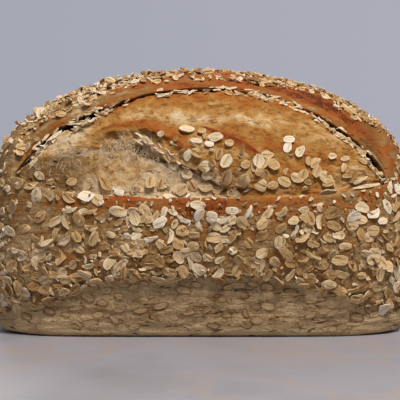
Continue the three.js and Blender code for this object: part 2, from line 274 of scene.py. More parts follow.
def noise(points, scale, shift=0.0):
    """Smooth noise from -1 to 1: random values on a lattice whose cells measure scale, in
    millimetres, blended between the eight corners by an S-curve. scale may differ by axis."""
    place = points / np.asarray(scale, float) + shift
    cell = np.floor(place).astype(int)
    part = place - cell
    part = part * part * (3.0 - 2.0 * part)
    total = 0.0
    for corner in range(8):
        weight, at = 1.0, []
        for axis in range(3):
            far = (corner >> axis) & 1
            weight = weight * (part[..., axis] if far else 1 - part[..., axis])
            at.append(cell[..., axis] + far)
        total = total + weight * NOISE_TABLE[lattice(*at)]
    return total


def rough(points, scale, octaves, shift=0.0):
    """Noise of several sizes: each next one half as wide and half as strong."""
    total, strength, size = 0.0, 1.0, np.asarray(scale, float)
    for octave in range(octaves):
        total = total + strength * noise(points, size, shift + 7.3 * octave)
        strength, size = strength * 0.5, size * 0.5
    return total


def stirred(points, reach):
    """The same places, each pushed about by up to the reach, so that no noise repeats evenly."""
    push = [noise(points, 5.0, 40.0), noise(points, 6.0, 50.0), noise(points, 4.4, 60.0)]
    return points + reach * np.stack(push, axis=-1)


def ragged(x, shift):
    """A ragged line along the loaf: noise that depends on the place along it only."""
    line = in_front_plane(x, np.zeros_like(x))
    return 0.6 * noise(line, 9.0, shift) + 0.35 * noise(line, 3.4, shift) + 0.25 * noise(line, 1.5, shift)


# Form of the loaf

class LoafForm:
    """The loaf's outer form in millimetres, as functions of u, the place along it from -1 to 1,
    and of height."""

    def __init__(self, sizes):
        self.half_length = sizes.half_length / MM
        self.half_width = sizes.half_width / MM
        self.top = sizes.ridge_height / MM
        self.end_top = 0.534 * self.top
        self.base_half_length = 0.965 * self.half_length
        self.base_half_width = 0.817 * self.half_width
        self.widest = 55.0
        self.shoulder_height = 60.0
        self.ledge_height = 32.0
        self.edge_radius = 4.0
        self.dome_power = 2.2
        self.base_power = 4.2
        self.ridge_power = 2.8
        self.tear_half_length = sizes.tear_half_length / MM
        self.lip_height = sizes.lip_height / MM
        self.flap_thickness = sizes.flap_thickness / MM
        self.crack_gap = sizes.crack_gap / MM
        self.arch_foot = 81.5
        self.arch_rise = 47.5
        self.arch_middle = 4.0
        self.ear_share = 0.84
        self.crack_depth = 8.0
        self.ledge_overhang = 2.6

    def ridge(self, u):
        """Height of the crown: the end's height plus the rise times (1 - u squared) ** 0.43."""
        return mix(self.end_top, self.top, np.maximum(0.0, 1.0 - u * u) ** 0.43)

    def shoulder(self, u):
        """Height where the wall turns into the dome, 12 lower at the very ends."""
        return self.shoulder_height - 12.0 * smooth(0.8, 1.0, np.abs(u))

    def ledge(self, u):
        """Height of the ledge under the dense oats, 18 lower towards the ends."""
        return self.ledge_height - 18.0 * smooth(0.3, 0.95, np.abs(u))

    def base(self, u):
        """Height of the underside: flat, then lifted a little, and rounded at the very ends."""
        away = np.abs(u)
        return 1.5 * smooth(0.66, 1.0, away) + 5.0 * smooth(0.95, 1.0, away)

    def swell(self, height):
        """A quarter sine wave that brings the wall from its base size to its widest."""
        return np.sin(np.pi / 2 * np.clip(height / self.widest, 0.0, 1.0)) ** 0.9

    def length_at(self, height):
        """Half length of the loaf at a height."""
        return mix(self.base_half_length, self.half_length, self.swell(height))

    def wall(self, height):
        """Half width of the wall at a height."""
        return mix(self.base_half_width, self.half_width, self.swell(height))

    def dome(self, u, height):
        """Half width at a height: the wall, and above the shoulder a superellipse."""
        low = self.shoulder(u)
        rise = np.clip((height - low) / (self.ridge(u) - low), 0.0, 1.0)
        over = self.half_width * (1.0 - rise ** self.dome_power) ** (1 / self.dome_power)
        return np.where(height < low, self.wall(height), over)

    def taper(self, u, height):
        """Seen from above, a superellipse, squarer at the base than at the ridge."""
        power = mix(self.base_power, self.ridge_power, np.clip(height / self.top, 0.0, 1.0))
        return np.maximum(0.0, 1.0 - np.abs(u) ** power) ** (1.0 / power)

    def flat_reach(self, u):
        """Half width of the flat base, with the plan's taper undone where its sides are straight."""
        flat = self.base_half_width - self.edge_radius
        straight = flat / np.maximum(0.5, self.taper(u, 0.0))
        return np.where(np.abs(u) > 0.66, np.minimum(flat + 2.0, straight), straight)

    def along_tear(self, u):
        """Place along the tear from -1 to 1, held there beyond its ends."""
        return np.clip(u * self.half_length / self.tear_half_length, -1.0, 1.0)

    def beyond(self, u):
        """0 along the tear, and 1 past its ends."""
        return smooth(0.845, 0.95, np.abs(u))

    def open(self, u):
        """1 where the tear is open, and 0 where the skin is whole."""
        return smooth(0.0, 1.0, (0.875 - np.abs(u)) / 0.07)

    def lip(self, u):
        """Height of the lip: level in the middle, rising by the fourth power to the ends."""
        along = self.along_tear(u)
        rise = mix(10.5, 7.0, smooth(-0.4, 0.4, along))
        level = mix(self.shoulder(u), self.ridge(u), 0.3)
        return mix(self.lip_height + rise * along ** 4, level, self.beyond(u))

    def crack(self, u):
        """Height of the ear's tip: an arch over the tear, rising by 1 - place squared to a power
        that makes it a bit steeper on the right."""
        along = self.along_tear(u)
        place = along - self.arch_middle / self.tear_half_length * (1.0 - along * along)
        fall = mix(0.66, 0.76, smooth(-0.2, 0.4, along))
        arch = self.arch_foot + self.arch_rise * np.maximum(0.0, 1.0 - place * place) ** fall
        level = mix(self.shoulder(u), self.ridge(u), 0.68)
        return np.maximum(mix(arch, level, self.beyond(u)), self.lip(u) + 2.0)

    def gap(self, u):
        """Height of the open crack under the ear: wide on the left, a slit in the middle, and
        wider again at the right end."""
        x = u * self.half_length
        width = table(x, CRACK_WIDTH)
        return self.crack_gap * width * (1.0 + 0.6 * ragged(x, 3.0))

    def flap_edge(self, u):
        """Height of the flap's free lower edge, kept between the lip and the crack."""
        edge = table(u * self.half_length, FLAP_EDGE)
        lip = self.lip(u)
        gap = self.crack(u) - lip
        return np.clip(edge, lip + 0.08 * gap, lip + 0.6 * gap)

    def flap_share(self, x):
        """How much of the flap is there: none left of it, all of it, then melting away."""
        return smooth(-57.0, -48.0, x) * (1.0 - smooth(18.0, 45.0, x))

    def underside(self, x):
        """1 where the flap is only a thin rim and its torn underside shows, on its left."""
        return smooth(-56.0, -46.0, x) * (1.0 - smooth(-25.0, -14.0, x))

    def crumb(self, u, height):
        """How far the burst crumb reaches out: from the lip's inside back to the ear's tip by
        (1 - rise ** 2.2) ** 0.73."""
        lip, crack = self.lip(u), self.crack(u)
        rise = np.clip((height - lip) / (crack - lip), 0.0, 1.0)
        inner = self.ear_share * self.dome(u, crack)
        outer = self.dome(u, lip) - 8.5
        return inner + (outer - inner) * (1.0 - rise ** 2.2) ** 0.73

    def place(self, u, side, reach, height):
        """Points in space: x is u times the half length, y the reach narrowed by the taper."""
        x = u * self.length_at(height)
        y = side * reach * self.taper(u, height)
        points = np.stack([x, y, height], axis=-1)
        return points + self.unevenness(points)

    def unevenness(self, points):
        """Slow lumps of hand-shaped dough across the loaf: three sine waves, none at the base."""
        x, y, z = points[..., 0], points[..., 1], points[..., 2]
        wave = (
            np.sin(x / 31.0 + 0.6) * np.sin(z / 23.0 + y / 40.0)
            + 0.6 * np.sin(x / 15.0 + z / 19.0 + 1.7)
            + 0.4 * np.sin(x / 9.0 - z / 11.0 + y / 13.0)
        )
        lump = 0.75 * wave * smooth(4.0, 24.0, z) / np.maximum(self.half_width, np.abs(y))
        return np.stack([np.zeros_like(x), y * lump, np.zeros_like(z)], axis=-1)


def loaf_rows(form, count, last):
    """Places u of the rows, at equal steps round half the loaf's outline as seen from above."""
    fine = last * np.sin(np.linspace(-np.pi / 2, np.pi / 2, 6001))
    outline = np.stack([fine * form.half_length, form.taper(fine, form.widest) * form.half_width], -1)
    run = np.concatenate([[0.0], np.cumsum(np.linalg.norm(np.diff(outline, axis=0), axis=1))])
    rows = np.interp(np.linspace(0.0, run[-1], count), run, fine)
    return rows[:, None]


# Cross-sections of the crust, each stretch as reach and height with one row for each place

def lower_profile(form, u):
    """From the middle of the base along the flat, round a quarter circle, up the bare wall, which
    draws in under the ledge, and out over the ledge by an S-curve."""
    base, ledge = form.base(u), form.ledge(u)
    flat, radius = form.flat_reach(u), form.edge_radius
    turn = shares(EDGE_STEPS) * np.pi / 2
    foot = base + radius
    up, over = shares(WALL_STEPS), shares(LEDGE_STEPS)
    wall_height = mix(foot, ledge - 1.5, up)
    overhang = form.ledge_overhang * (1.0 - 0.5 * smooth(0.2, 0.5, u))
    ledge_height = mix(ledge - 1.5, ledge + 2.5, over)
    reach = [
        flat * shares(BASE_STEPS),
        flat + (form.wall(foot) - flat) * np.sin(turn),
        form.wall(wall_height) - overhang * smooth(0.0, 1.0, up),
        form.wall(ledge_height) + mix(-overhang, 0.4, smooth(0.0, 1.0, over)),
    ]
    height = [
        np.repeat(base, BASE_STEPS, axis=1),
        base + radius * (1 - np.cos(turn)),
        wall_height,
        ledge_height,
    ]
    return np.concatenate(reach, axis=1), np.concatenate(height, axis=1)


def crown_climb():
    """Steps up the crown as shares of its rise: wide above the crack and finer near the ridge."""
    return 1.0 - (1.0 - shares(CROWN_STEPS)) ** 2


def whole_profile(form, u):
    """Band, shoulder and crown of unbroken skin. Its heights are those of the torn profile."""
    lip, crack, ridge = form.lip(u), form.crack(u), form.ridge(u)
    height = np.concatenate([
        mix(form.ledge(u) + 2.5, lip - 3.0, shares(BAND_STEPS)),
        mix(lip - 3.0, lip, shares(ROLL_STEPS)),
        mix(lip, crack - 1.0, shares(FLOOR_STEPS)),
        mix(crack - 1.0, crack, shares(CRACK_STEPS)),
        mix(crack, ridge, crown_climb()),
    ], axis=1)
    return form.dome(u, height), height


def torn_profile(form, u):
    """Band, lip rolled over as half an ellipse, floor of the tear, wall of the crack, the ear and
    the crown, which rises from the ear's tip to the ridge."""
    x = u * form.half_length
    lip = form.lip(u) + 0.7 * ragged(x, 21.0)
    tip = form.crack(u) + mix(0.8, 1.8, smooth(58.0, 85.0, np.abs(x))) * ragged(x, 23.0)
    ridge = form.ridge(u)
    outer = form.dome(u, lip - 3.0)
    ear = form.ear_share * form.dome(u, tip)
    roll = shares(ROLL_STEPS) * np.pi
    up, wall, climb = shares(FLOOR_STEPS), shares(CRACK_STEPS), crown_climb()
    band_height = mix(form.ledge(u) + 2.5, lip - 2.6, shares(BAND_STEPS))
    floor_height = mix(lip - 3.0, tip - 7.0, up)
    depth = mix(3.0, 9.0, smooth(0.0, 0.25, up))
    reach = [
        form.dome(u, band_height),
        outer - 2.3 + 2.3 * np.cos(roll),
        np.minimum(form.crumb(u, floor_height) - depth, outer - 5.0),
        mix(ear - form.crack_depth, ear, wall ** 1.3),
        ear * (1.0 - climb ** 1.5) ** 0.75,
    ]
    height = [
        band_height,
        lip - 2.6 + 2.6 * np.sin(roll),
        floor_height,
        mix(tip - 7.0, tip, wall ** 0.6),
        mix(tip, ridge, climb),
    ]
    return np.concatenate(reach, axis=1), np.concatenate(height, axis=1)


def crust_grid(form):
    """The crust as a grid of points, rows by columns. Columns run from the middle of the base up
    the front to the ridge, and then down the back. The back is the same section, untorn and at
    every second place. The first and the last row fold flat into a seam, where front and back
    share the points at every second place."""
    u = loaf_rows(form, CRUST_ROWS, 1.0)
    low_reach, low_height = lower_profile(form, u)
    whole_reach, whole_height = whole_profile(form, u)
    torn_reach, torn_height = torn_profile(form, u)
    open_share = form.open(u)
    front_reach = np.concatenate([low_reach, mix(whole_reach, torn_reach, open_share)], axis=1)
    front_height = np.concatenate([low_height, mix(whole_height, torn_height, open_share)], axis=1)
    back_reach = np.concatenate([low_reach, whole_reach], axis=1)[:, 1:]
    back_height = np.concatenate([low_height, whole_height], axis=1)[:, 1:]
    front = form.place(u, -1.0, front_reach, front_height)
    ridge = form.place(u, 1.0, np.zeros_like(u), form.ridge(u))
    back = form.place(u, 1.0, back_reach, back_height)[:, ::-2]
    grid = soften(np.concatenate([front, ridge, back], axis=1), 1)
    column = np.arange(front.shape[1])
    seam = np.concatenate([column - column % 2, [column.size], column[:0:-2]])
    for end in (0, -1):
        grid[end] = grid[end, seam]
    return u, grid


def soften(grid, passes):
    """Rounds corners along the closed sections: each point moves towards its two neighbours'
    middle. The flat base stays flat."""
    for _ in range(passes):
        middle = (np.roll(grid, 1, axis=1) + np.roll(grid, -1, axis=1)) / 2
        still = grid[..., 2:] < 3.0
        grid = np.where(still, grid, mix(grid, middle, 0.5))
    return grid


def grid_normals(grid):
    """Outward normals of a grid whose columns close into a loop: the cross product of its steps
    along the rows and along the columns."""
    along = np.gradient(grid, axis=0)
    across = (np.roll(grid, -1, axis=1) - np.roll(grid, 1, axis=1)) / 2
    return unit(np.cross(along, across))


# Meshes

def loop_faces(rows, columns):
    """Faces of a grid of points whose columns close into a loop, as four corners each."""
    row, column = np.meshgrid(np.arange(rows - 1), np.arange(columns), indexing="ij")
    after = (column + 1) % columns
    low, high = row * columns, (row + 1) * columns
    return np.stack([low + column, high + column, high + after, low + after], axis=-1).reshape(-1, 4)


def mesh_from(name, points, faces):
    """A smooth-shaded mesh from points in millimetres and faces that all have as many corners."""
    mesh = bpy.data.meshes.new(name)
    corners = faces.shape[1]
    mesh.vertices.add(len(points))
    mesh.vertices.foreach_set("co", (points * MM).astype(np.float32).ravel())
    mesh.loops.add(faces.size)
    mesh.loops.foreach_set("vertex_index", faces.astype(np.int32).ravel())
    mesh.polygons.add(len(faces))
    mesh.polygons.foreach_set("loop_start", np.arange(0, faces.size, corners, dtype=np.int32))
    mesh.polygons.foreach_set("use_smooth", np.ones(len(faces), bool))
    mesh.update(calc_edges=True)
    return mesh


def close_ends(mesh):
    """Merges the double points where a surface has shrunk to a seam or a point."""
    work = bmesh.new()
    work.from_mesh(mesh)
    bmesh.ops.remove_doubles(work, verts=work.verts, dist=1e-7)
    bmesh.ops.dissolve_degenerate(work, edges=work.edges, dist=1e-7)
    work.to_mesh(mesh)
    work.free()


def add_attribute(mesh, label, values):
    """One number, or one vector, for each point of the mesh."""
    if values.ndim == 1:
        field = mesh.attributes.new(label, "FLOAT", "POINT")
        field.data.foreach_set("value", values.astype(np.float32))
    else:
        field = mesh.attributes.new(label, "FLOAT_VECTOR", "POINT")
        field.data.foreach_set("vector", values.astype(np.float32).ravel())


def closed_tube(name, grid, attributes):
    """A closed mesh from a grid whose columns close into a loop, with an attribute for each name."""
    mesh = mesh_from(name, grid.reshape(-1, 3), loop_faces(*grid.shape[:2]))
    for label, values in attributes.items():
        add_attribute(mesh, label, values.reshape(-1))
    close_ends(mesh)
    return mesh


def add_piece(mesh, material):
    """A piece of the loaf: its object at the origin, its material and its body."""
    mesh.materials.append(material)
    piece = bpy.data.objects.new(mesh.name, mesh)
    bpy.context.scene.collection.objects.link(piece)
    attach(piece, "root")
    return piece


# Crust

def crown_place(form, grid, u):
    """For the bare strip of crown over the crack: 1 on it and 0 elsewhere, and height above the
    crack."""
    over = grid[..., 2] - form.crack(u)
    strip = (grid[..., 1] < 0) * smooth(-0.5, 0.5, over) * form.open(u)
    return strip, over


def bare_rim(x):
    """How high the crown over the crack is free of flakes: a narrow strip in the middle, wider
    on the left and much wider at the right end."""
    return 5.2 + 4.5 * smooth(-58.0, -92.0, x) + 5.2 * smooth(30.0, 75.0, x) + 8.0 * smooth(78.0, 100.0, x)


def crust_relief(form, grid, u):
    """How far the crust stands out from its smooth form: lumps between the flakes, long wrinkles
    and shallow cracks on the bare wall, and grooves along the crown over the crack."""
    x, z = grid[..., 0], grid[..., 2]
    bare = 1.0 - smooth(-3.0, 3.0, z - form.ledge(u))
    strip, over = crown_place(form, grid, u)
    lumps = 0.5 * rough(grid, 8.0, 4)
    wrinkles = 0.7 * rough(grid, (34.0, 34.0, 4.5), 3, 11.0) + 0.42 * rough(grid, (9.0, 9.0, 2.6), 2, 4.0)
    grooves = rough(in_front_plane(x, over), (11.0, 1.0, 1.7), 4, 5.0)
    relief = mix(lumps, wrinkles, bare)
    relief = mix(relief, grooves, strip * (1.0 - smooth(*CROWN_FADE, over)))
    return relief * smooth(0.4, 3.5, z - form.base(u)) * (1.0 - smooth(0.985, 1.0, np.abs(u)))


def crown_tone(x, over):
    """How far the bare crown over the crack is baked: more from left to right, with a dark streak
    that climbs on the right, golden below it and less baked at the far right."""
    flow = in_front_plane(x, over)
    tone = mix(0.39, 0.75, smooth(-68.0, 2.0, x)) + 0.20 * rough(flow, (11.0, 1.0, 1.5), 4, 1.0)
    streak = mix(4.0, 9.0, smooth(30.0, 80.0, x))
    wide = mix(1.8, 2.8, smooth(40.0, 90.0, x))
    tone = tone + 0.27 * bump(0.0, wide, over - streak) * smooth(15.0, 50.0, x)
    tone = tone - 0.23 * smooth(20.0, 50.0, x) * (1.0 - smooth(2.5, 6.5, over))
    return tone - 0.25 * smooth(80.0, 92.0, x)


def crust_tone(form, grid, u):
    """How far each place is baked, from 0, pale, to 1, dark, with painted light on the wall: tan on the
    band, paler on the wall, where painted light lifts its shade, orange brown below the lip, and as
    crown_tone says over the crack."""
    x, y, z = grid[..., 0], grid[..., 1], grid[..., 2]
    front = (y < 0) * form.open(u)

    # The band, a bit darker high up and on the right
    on_wall = 1.0 - smooth(-2.0, 2.0, z - form.ledge(u))
    tone = 0.30 + mix(0.10, 0.03, on_wall) * rough(grid, 14.0, 3, 2.0)
    tone = tone + 0.07 * smooth(20.0, 60.0, z) * smooth(-120.0, 20.0, x)

    # The wall, palest under the ledge, at the foot, on the right and at the low left end: painted
    # light that lifts the shade under the ledge, on the right and at the low left end, and at the
    # foot partly the crust's golden tone and partly painted light from the floor
    foot = mix(0.20, 0.0, smooth(20.0, 80.0, x)) * bump(2.0, 8.0, z)
    tone = tone - on_wall * (0.14 * bump(32.0, 10.0, z) + 0.11 + foot)
    tone = tone - 0.10 * on_wall * smooth(20.0, 70.0, x)
    tone = tone - 0.25 * smooth(-70.0, -95.0, x) * (1.0 - smooth(36.0, 60.0, z))

    # The skin past the crack's right end, the glow below the lip and the lip's pale right end
    tone = tone + 0.18 * (y < 0) * smooth(76.0, 92.0, x) * bump(94.0, 18.0, z)
    below = z - form.lip(u)
    glow = front * bump(-3.5, 8.0, below) * smooth(-96.0, -40.0, x)
    glow = glow * (1.0 + 0.35 * noise(grid, (14.0, 9.0, 5.0), 8.0))
    tone = tone + mix(0.38, 0.15, smooth(-30.0, 50.0, x)) * glow
    tone = tone - 0.5 * front * bump(0.8, 1.0, below) * smooth(72.0, 80.0, x)

    strip, over = crown_place(form, grid, u)
    bare = strip * (1.0 - 0.8 * smooth(*CROWN_FADE, over))
    return np.clip(mix(tone, crown_tone(x, over), bare), 0.0, 1.0)


def crust_dark(form, grid, u):
    """Painted shade, from 0 to 1: 1 deep in the tear, where little light and no flour reaches, and a
    little on the bare wall under the middle of the ledge, where the ledge's shade falls, and at the
    right end of the crown over the crack, where the crack's shade falls."""
    x, z, columns = grid[..., 0], grid[..., 2], np.arange(grid.shape[1])
    inside = smooth(LIP_COLUMN - 5, LIP_COLUMN - 1, columns)
    inside = inside * (1.0 - smooth(EAR_COLUMN - 2.5, EAR_COLUMN - 0.5, columns))
    on_wall = 0.24 * bump(0.0, 42.0, x) * bump(22.0, 12.0, z)
    on_crown = 0.30 * crown_place(form, grid, u)[0] * smooth(78.0, 90.0, x)
    return np.maximum(np.maximum(inside[None, :] * form.open(u), on_wall), on_crown)


def make_crust(sizes, material):
    """The whole crust as one closed piece in the loaf's place."""
    form = LoafForm(sizes)
    u, grid = crust_grid(form)
    relief = crust_relief(form, grid, u)
    points = grid + grid_normals(grid) * relief[..., None]
    points[..., 2] = np.maximum(points[..., 2], form.base(u))
    points[[0, -1]] = grid[[0, -1]]
    attributes = {"bake_and_painted_light": crust_tone(form, grid, u), "dark": crust_dark(form, grid, u)}
    piece = add_piece(closed_tube("crust", points, attributes), material)
    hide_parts("loaf")


# Burst crumb

def crumb_grid(form):
    """The burst crumb as a closed loop of points for each row: up from the lip's inner side,
    through the hollow, round the flap's free edge, over the flap, into the crack, and back down
    inside."""
    u = loaf_rows(form, CRUMB_ROWS, CRUMB_END)
    x = u * form.half_length
    lip, crack, edge = form.lip(u), form.crack(u), form.flap_edge(u)
    flap, under = form.flap_share(x), form.underside(x)
    fold = flap * (1.0 - under)
    hollow = smooth(-90.0, -62.0, x) * (1.0 - smooth(0.0, 24.0, x))
    up, over = shares(HOLLOW_STEPS), shares(FLAP_STEPS)
    turn, down = shares(TURN_STEPS), shares(INNER_STEPS)
    low = lip - 4.0
    top_edge = crack - form.gap(u)
    hollow_height = mix(low, edge + mix(-0.5, 2.0, fold), up ** 0.9)
    valley = 3.6 * (1.0 - smooth(-4.0, 1.0, hollow_height - lip)) * form.open(u)
    hollow_reach = form.crumb(u, hollow_height) - hollow * np.sin(np.pi * np.minimum(up, 0.72)) + valley
    flap_height = mix(edge + mix(0.5, -0.9, fold), top_edge, over)
    top = table(x, FLAP_TOP)
    sheet = mix(1.0, smooth(top - 6.5, top - 3.0, flap_height), under)
    sheet = sheet * (1.0 - smooth(top - 2.5, top + 2.0, flap_height))
    raised = form.flap_thickness * flap * sheet * mix(1.0, 0.75, under)
    raised = raised * mix(0.4, 1.0, smooth(0.0, 9.0, flap_height - edge))
    flap_reach = form.crumb(u, flap_height) + raised
    ear = form.ear_share * form.dome(u, crack)
    turn_reach = mix(flap_reach[:, -1:], ear - 9.0, turn)
    turn_height = mix(top_edge, crack - 8.0, turn ** 1.6)
    inner_height = mix(crack - 8.0, low, down)
    inner_reach = form.crumb(u, inner_height) - 11.0
    reach = np.concatenate([hollow_reach, flap_reach, turn_reach, inner_reach], axis=1)
    height = np.concatenate([hollow_height, flap_height, turn_height, inner_height], axis=1)
    reach = reach - 7.0 * smooth(CRUMB_FADE, CRUMB_END, np.abs(u))
    grid = soften(form.place(u, -1.0, reach, height), 2)
    for end in (0, -1):
        grid[end] = grid[end].mean(axis=0)
    return u, grid


def tear_share(form, u, height):
    """Share of the way up the tear, from 0 at the lip to 1 at the crack."""
    lip = form.lip(u)
    return np.clip((height - lip) / (form.crack(u) - lip), 0.0, 1.0)


def tear_flow(form, grid, u):
    """Points by place along the loaf and by share of the way up the tear, stretched to 50, so that
    a noise on them runs in streaks along the tear."""
    return in_front_plane(grid[..., 0], tear_share(form, u, grid[..., 2]) * 50.0)


def torn_zones(form, grid, u):
    """Shares from 0 to 1 of the crumb's zones: the flap's torn underside and the hollow below it."""
    x, z = grid[..., 0], grid[..., 2]
    edge, top = form.flap_edge(u), table(x, FLAP_TOP)
    under = form.underside(x) * smooth(-4.0, 1.0, z - edge) * (1.0 - smooth(-4.0, -2.2, z - top))
    hollow = (1.0 - smooth(-2.5, 1.5, z - edge)) * (1.0 - smooth(0.0, 26.0, x))
    return under, hollow


def torn_edge(form, x, z, u, width):
    """1 on the ragged pale edge of the crumb just under the crack, of the given half width."""
    below_ear = form.crack(u) - form.gap(u) - z
    return bump(0.2, width, below_ear) * smooth(-0.1, 0.5, ragged(x, 31.0))


def pores(form, grid, u):
    """Small pits of uneven size: the high spots of a noise, most of them on the flap's underside,
    some in the hollow and few elsewhere."""
    x, z = grid[..., 0], grid[..., 2]
    under, hollow = torn_zones(form, grid, u)
    few = bump(20.0, 12.0, x) * bump(112.5, 3.0, z) + 0.5 * bump(39.0, 10.0, x) * bump(113.0, 3.0, z)
    few = few + 0.6 * bump(-72.0, 12.0, x) * bump(94.0, 8.0, z)
    level = rough(stirred(grid, 3.0), (3.4, 6.0, 2.8), 2, 13.0)
    return smooth(0.66, 1.0, level) * np.clip(0.45 * hollow + under + few, 0.0, 1.0)


def shaded_gaps(form, grid, u):
    """1 in the narrow gaps under the flap, below its free edge and below its left rim."""
    x, z = grid[..., 0], grid[..., 2]
    edge = form.flap_edge(u) + 0.5 * ragged(x, 27.0)
    along = smooth(-54.0, -48.0, x) * mix(0.45, 1.0, smooth(-40.0, -28.0, x)) * (1.0 - smooth(16.0, 30.0, x))
    below = bump(-1.0, 1.2, z - edge) * along
    line = [(at, height - 1.3 * half - 1.2, 1.0) for at, height, half in LEFT_RIM]
    return np.maximum(below, 0.3 * stripe(x, z, line))


def crumb_relief(form, grid, u):
    """How far the crumb stands out from its smooth form: streaks along the tear, the flap's rims,
    fibres on its underside, lumps and pores in the hollow, swirled rings of thin skin at the left
    end and a torn edge under the ear."""
    x, z = grid[..., 0], grid[..., 2]
    flow = tear_flow(form, grid, u)
    under, hollow = torn_zones(form, grid, u)
    mixed = stirred(grid, 3.0)
    streaks = 0.8 * rough(stirred(flow, 2.0), (14.0, 9.0, 6.0), 3) + 0.45 * rough(mixed, 3.0, 2, 4.0)
    lumps = 0.8 * rough(mixed, 8.0, 4, 6.0)
    slanted = in_front_plane(x + 0.45 * (z - 100.0), z)
    fibres = 0.9 * rough(stirred(slanted, 1.0), (1.9, 9.0, 8.0), 2, 3.0)
    rings = np.sin(1.7 * np.hypot(x + 80.0, 1.2 * (z - 84.0)) + 3.0 * noise(grid, 6.0, 2.0))
    skin = bump(-82.0, 9.0, x) * bump(85.0, 8.0, z)
    relief = mix(streaks, 0.7 * lumps, hollow)
    relief = mix(relief, fibres - 0.5, under) + 0.2 * skin * rings
    relief = relief + stripe(x, z, LEFT_RIM) + 1.1 * stripe(x, z, RIGHT_RIM)
    return relief - 1.2 * pores(form, grid, u) + 1.5 * torn_edge(form, x, z, u, 1.1)


def crumb_tone(form, grid, u):
    """How far the crumb is baked, with painted light in the hollow: pale in the hollow, partly its
    sheltered crumb and partly painted light that lifts the flap's shadow, and in bands over the flap,
    golden towards the crack and on the right, orange brown on the flap's rims, and patches from the
    table."""
    x, z = grid[..., 0], grid[..., 2]
    under, hollow = torn_zones(form, grid, u)
    flow = stirred(tear_flow(form, grid, u), 3.0)
    streaks = rough(flow, (15.0, 9.0, 5.0), 3, 3.0) + rough(stirred(grid, 3.0), 8.0, 4, 8.0)
    streaks = 0.13 * streaks * (1.0 - 0.45 * hollow)
    tone = 0.37 + 0.24 * smooth(0.80, 0.96, tear_share(form, u, z)) + 0.03 * smooth(10.0, 70.0, x)
    for at, height, long, tall, slope, amount in CRUMB_PATCHES:
        along = x - at
        tone = tone + amount * bump(0.0, long, along) * bump(0.0, tall, z - height - slope * along)
    # The hollow: pale where the crumb was sheltered, and partly painted light that lifts the flap's shadow on
    # it
    sheltered = 0.03 + 0.21 * bump(-46.0, 17.0, x) * bump(88.0, 9.0, z) + 0.22 * smooth(-52.0, -70.0, x)
    tone = mix(tone, sheltered, hollow) - 0.30 * bump(-74.0, 16.0, x) * bump(100.0, 9.0, z)
    tone = mix(tone, 0.22, under)
    edge, top = form.flap_edge(u), table(x, FLAP_TOP)
    on_flap = smooth(-1.0, 1.0, z - edge) * (1.0 - smooth(-2.0, 1.0, z - top)) * form.flap_share(x)
    tone = mix(tone, 0.30, on_flap * (1.0 - form.underside(x)))
    tone = tone + streaks - 0.6 * torn_edge(form, x, z, u, 1.0)
    left, right = stripe(x, z, LEFT_RIM), stripe(x, z, RIGHT_RIM)
    tone = mix(tone, 0.64 + 0.5 * streaks, np.minimum(1.0, 2.2 * left))
    return np.clip(mix(tone, 0.88, np.minimum(1.0, 1.3 * right)), 0.0, 1.0)


def make_crumb(sizes, material):
    """The burst crumb and the flap on it as one closed piece."""
    form = LoafForm(sizes)
    u, grid = crumb_grid(form)
    columns = np.arange(grid.shape[1])
    outside = smooth(0.0, 4.0, columns) * (1.0 - smooth(2.0, 7.0, columns - OUTER_STEPS))
    within = 1.0 - smooth(CRUMB_FADE, RELIEF_END, np.abs(u))
    relief = crumb_relief(form, grid, u) * outside[None, :] * within
    points = grid + grid_normals(grid) * relief[..., None]
    points[[0, -1]] = grid[[0, -1]]
    under, hollow = torn_zones(form, grid, u)
    # The dark attribute is painted shade: on the crumb's inner side in the crack, in its pores, in the gaps
    # under the flap, at the hollow's left end and a little on the flap's torn underside
    dark = 1.0 - outside[None, :] + 0.6 * pores(form, grid, u) + 0.8 * shaded_gaps(form, grid, u)
    dark = dark + 0.50 * hollow * smooth(-48.0, -66.0, grid[..., 0]) + 0.12 * under
    attributes = {
        "bake_and_painted_light": crumb_tone(form, grid, u),
        "dark": np.clip(dark, 0.0, 1.0),
        "fibrous": np.clip(under + 0.35 * hollow, 0.0, 1.0),
    }
    add_piece(closed_tube("torn_crumb", points, attributes), material)


# Strands and slivers of torn gluten

def gluten_paths(form, rng):
    """Paths of thin strands on the torn crumb, and their radius at each point: most hang from
    under the flap's rim, the others swirl at the left end, and each bows out from the surface by
    half a sine wave."""
    count, steps = STRANDS, STRAND_POINTS
    share = np.linspace(0.0, 1.0, steps)[None, :]
    at_rim = rng.uniform(0, 1, count) < 0.72
    start_x = np.where(at_rim, rng.uniform(-52.0, -20.0, count), rng.uniform(-90.0, -54.0, count))
    top = table(start_x, FLAP_TOP)
    start_z = np.where(at_rim, top - rng.uniform(4.0, 15.0, count), rng.uniform(80.0, 104.0, count))
    heading = np.where(at_rim, rng.normal(-1.95, 0.35, count), rng.uniform(-np.pi, np.pi, count))
    bend = rng.normal(0.0, 0.9, count)
    length = rng.uniform(2.5, 8.0, count)
    angle = heading[:, None] + bend[:, None] * share
    x = start_x[:, None] + np.cumsum(np.cos(angle), axis=1) * length[:, None] / steps
    z = start_z[:, None] + np.cumsum(np.sin(angle), axis=1) * length[:, None] / steps
    u = x / form.half_length
    z = np.clip(z, form.lip(u) + 1.0, form.crack(u) - 2.5)
    out = 0.6 * np.sin(np.pi * share) + rng.uniform(-1.6, -0.2, count)[:, None] * at_rim[:, None]
    points = form.place(u, -1.0, form.crumb(u, z) + out + 0.3, z)
    taper = np.sin(np.pi * np.linspace(0.02, 0.98, steps)) ** 0.5
    radius = rng.uniform(0.05, 0.12, count)[:, None] * taper[None, :]
    radius[:, [0, -1]] = 0.0
    return points, radius


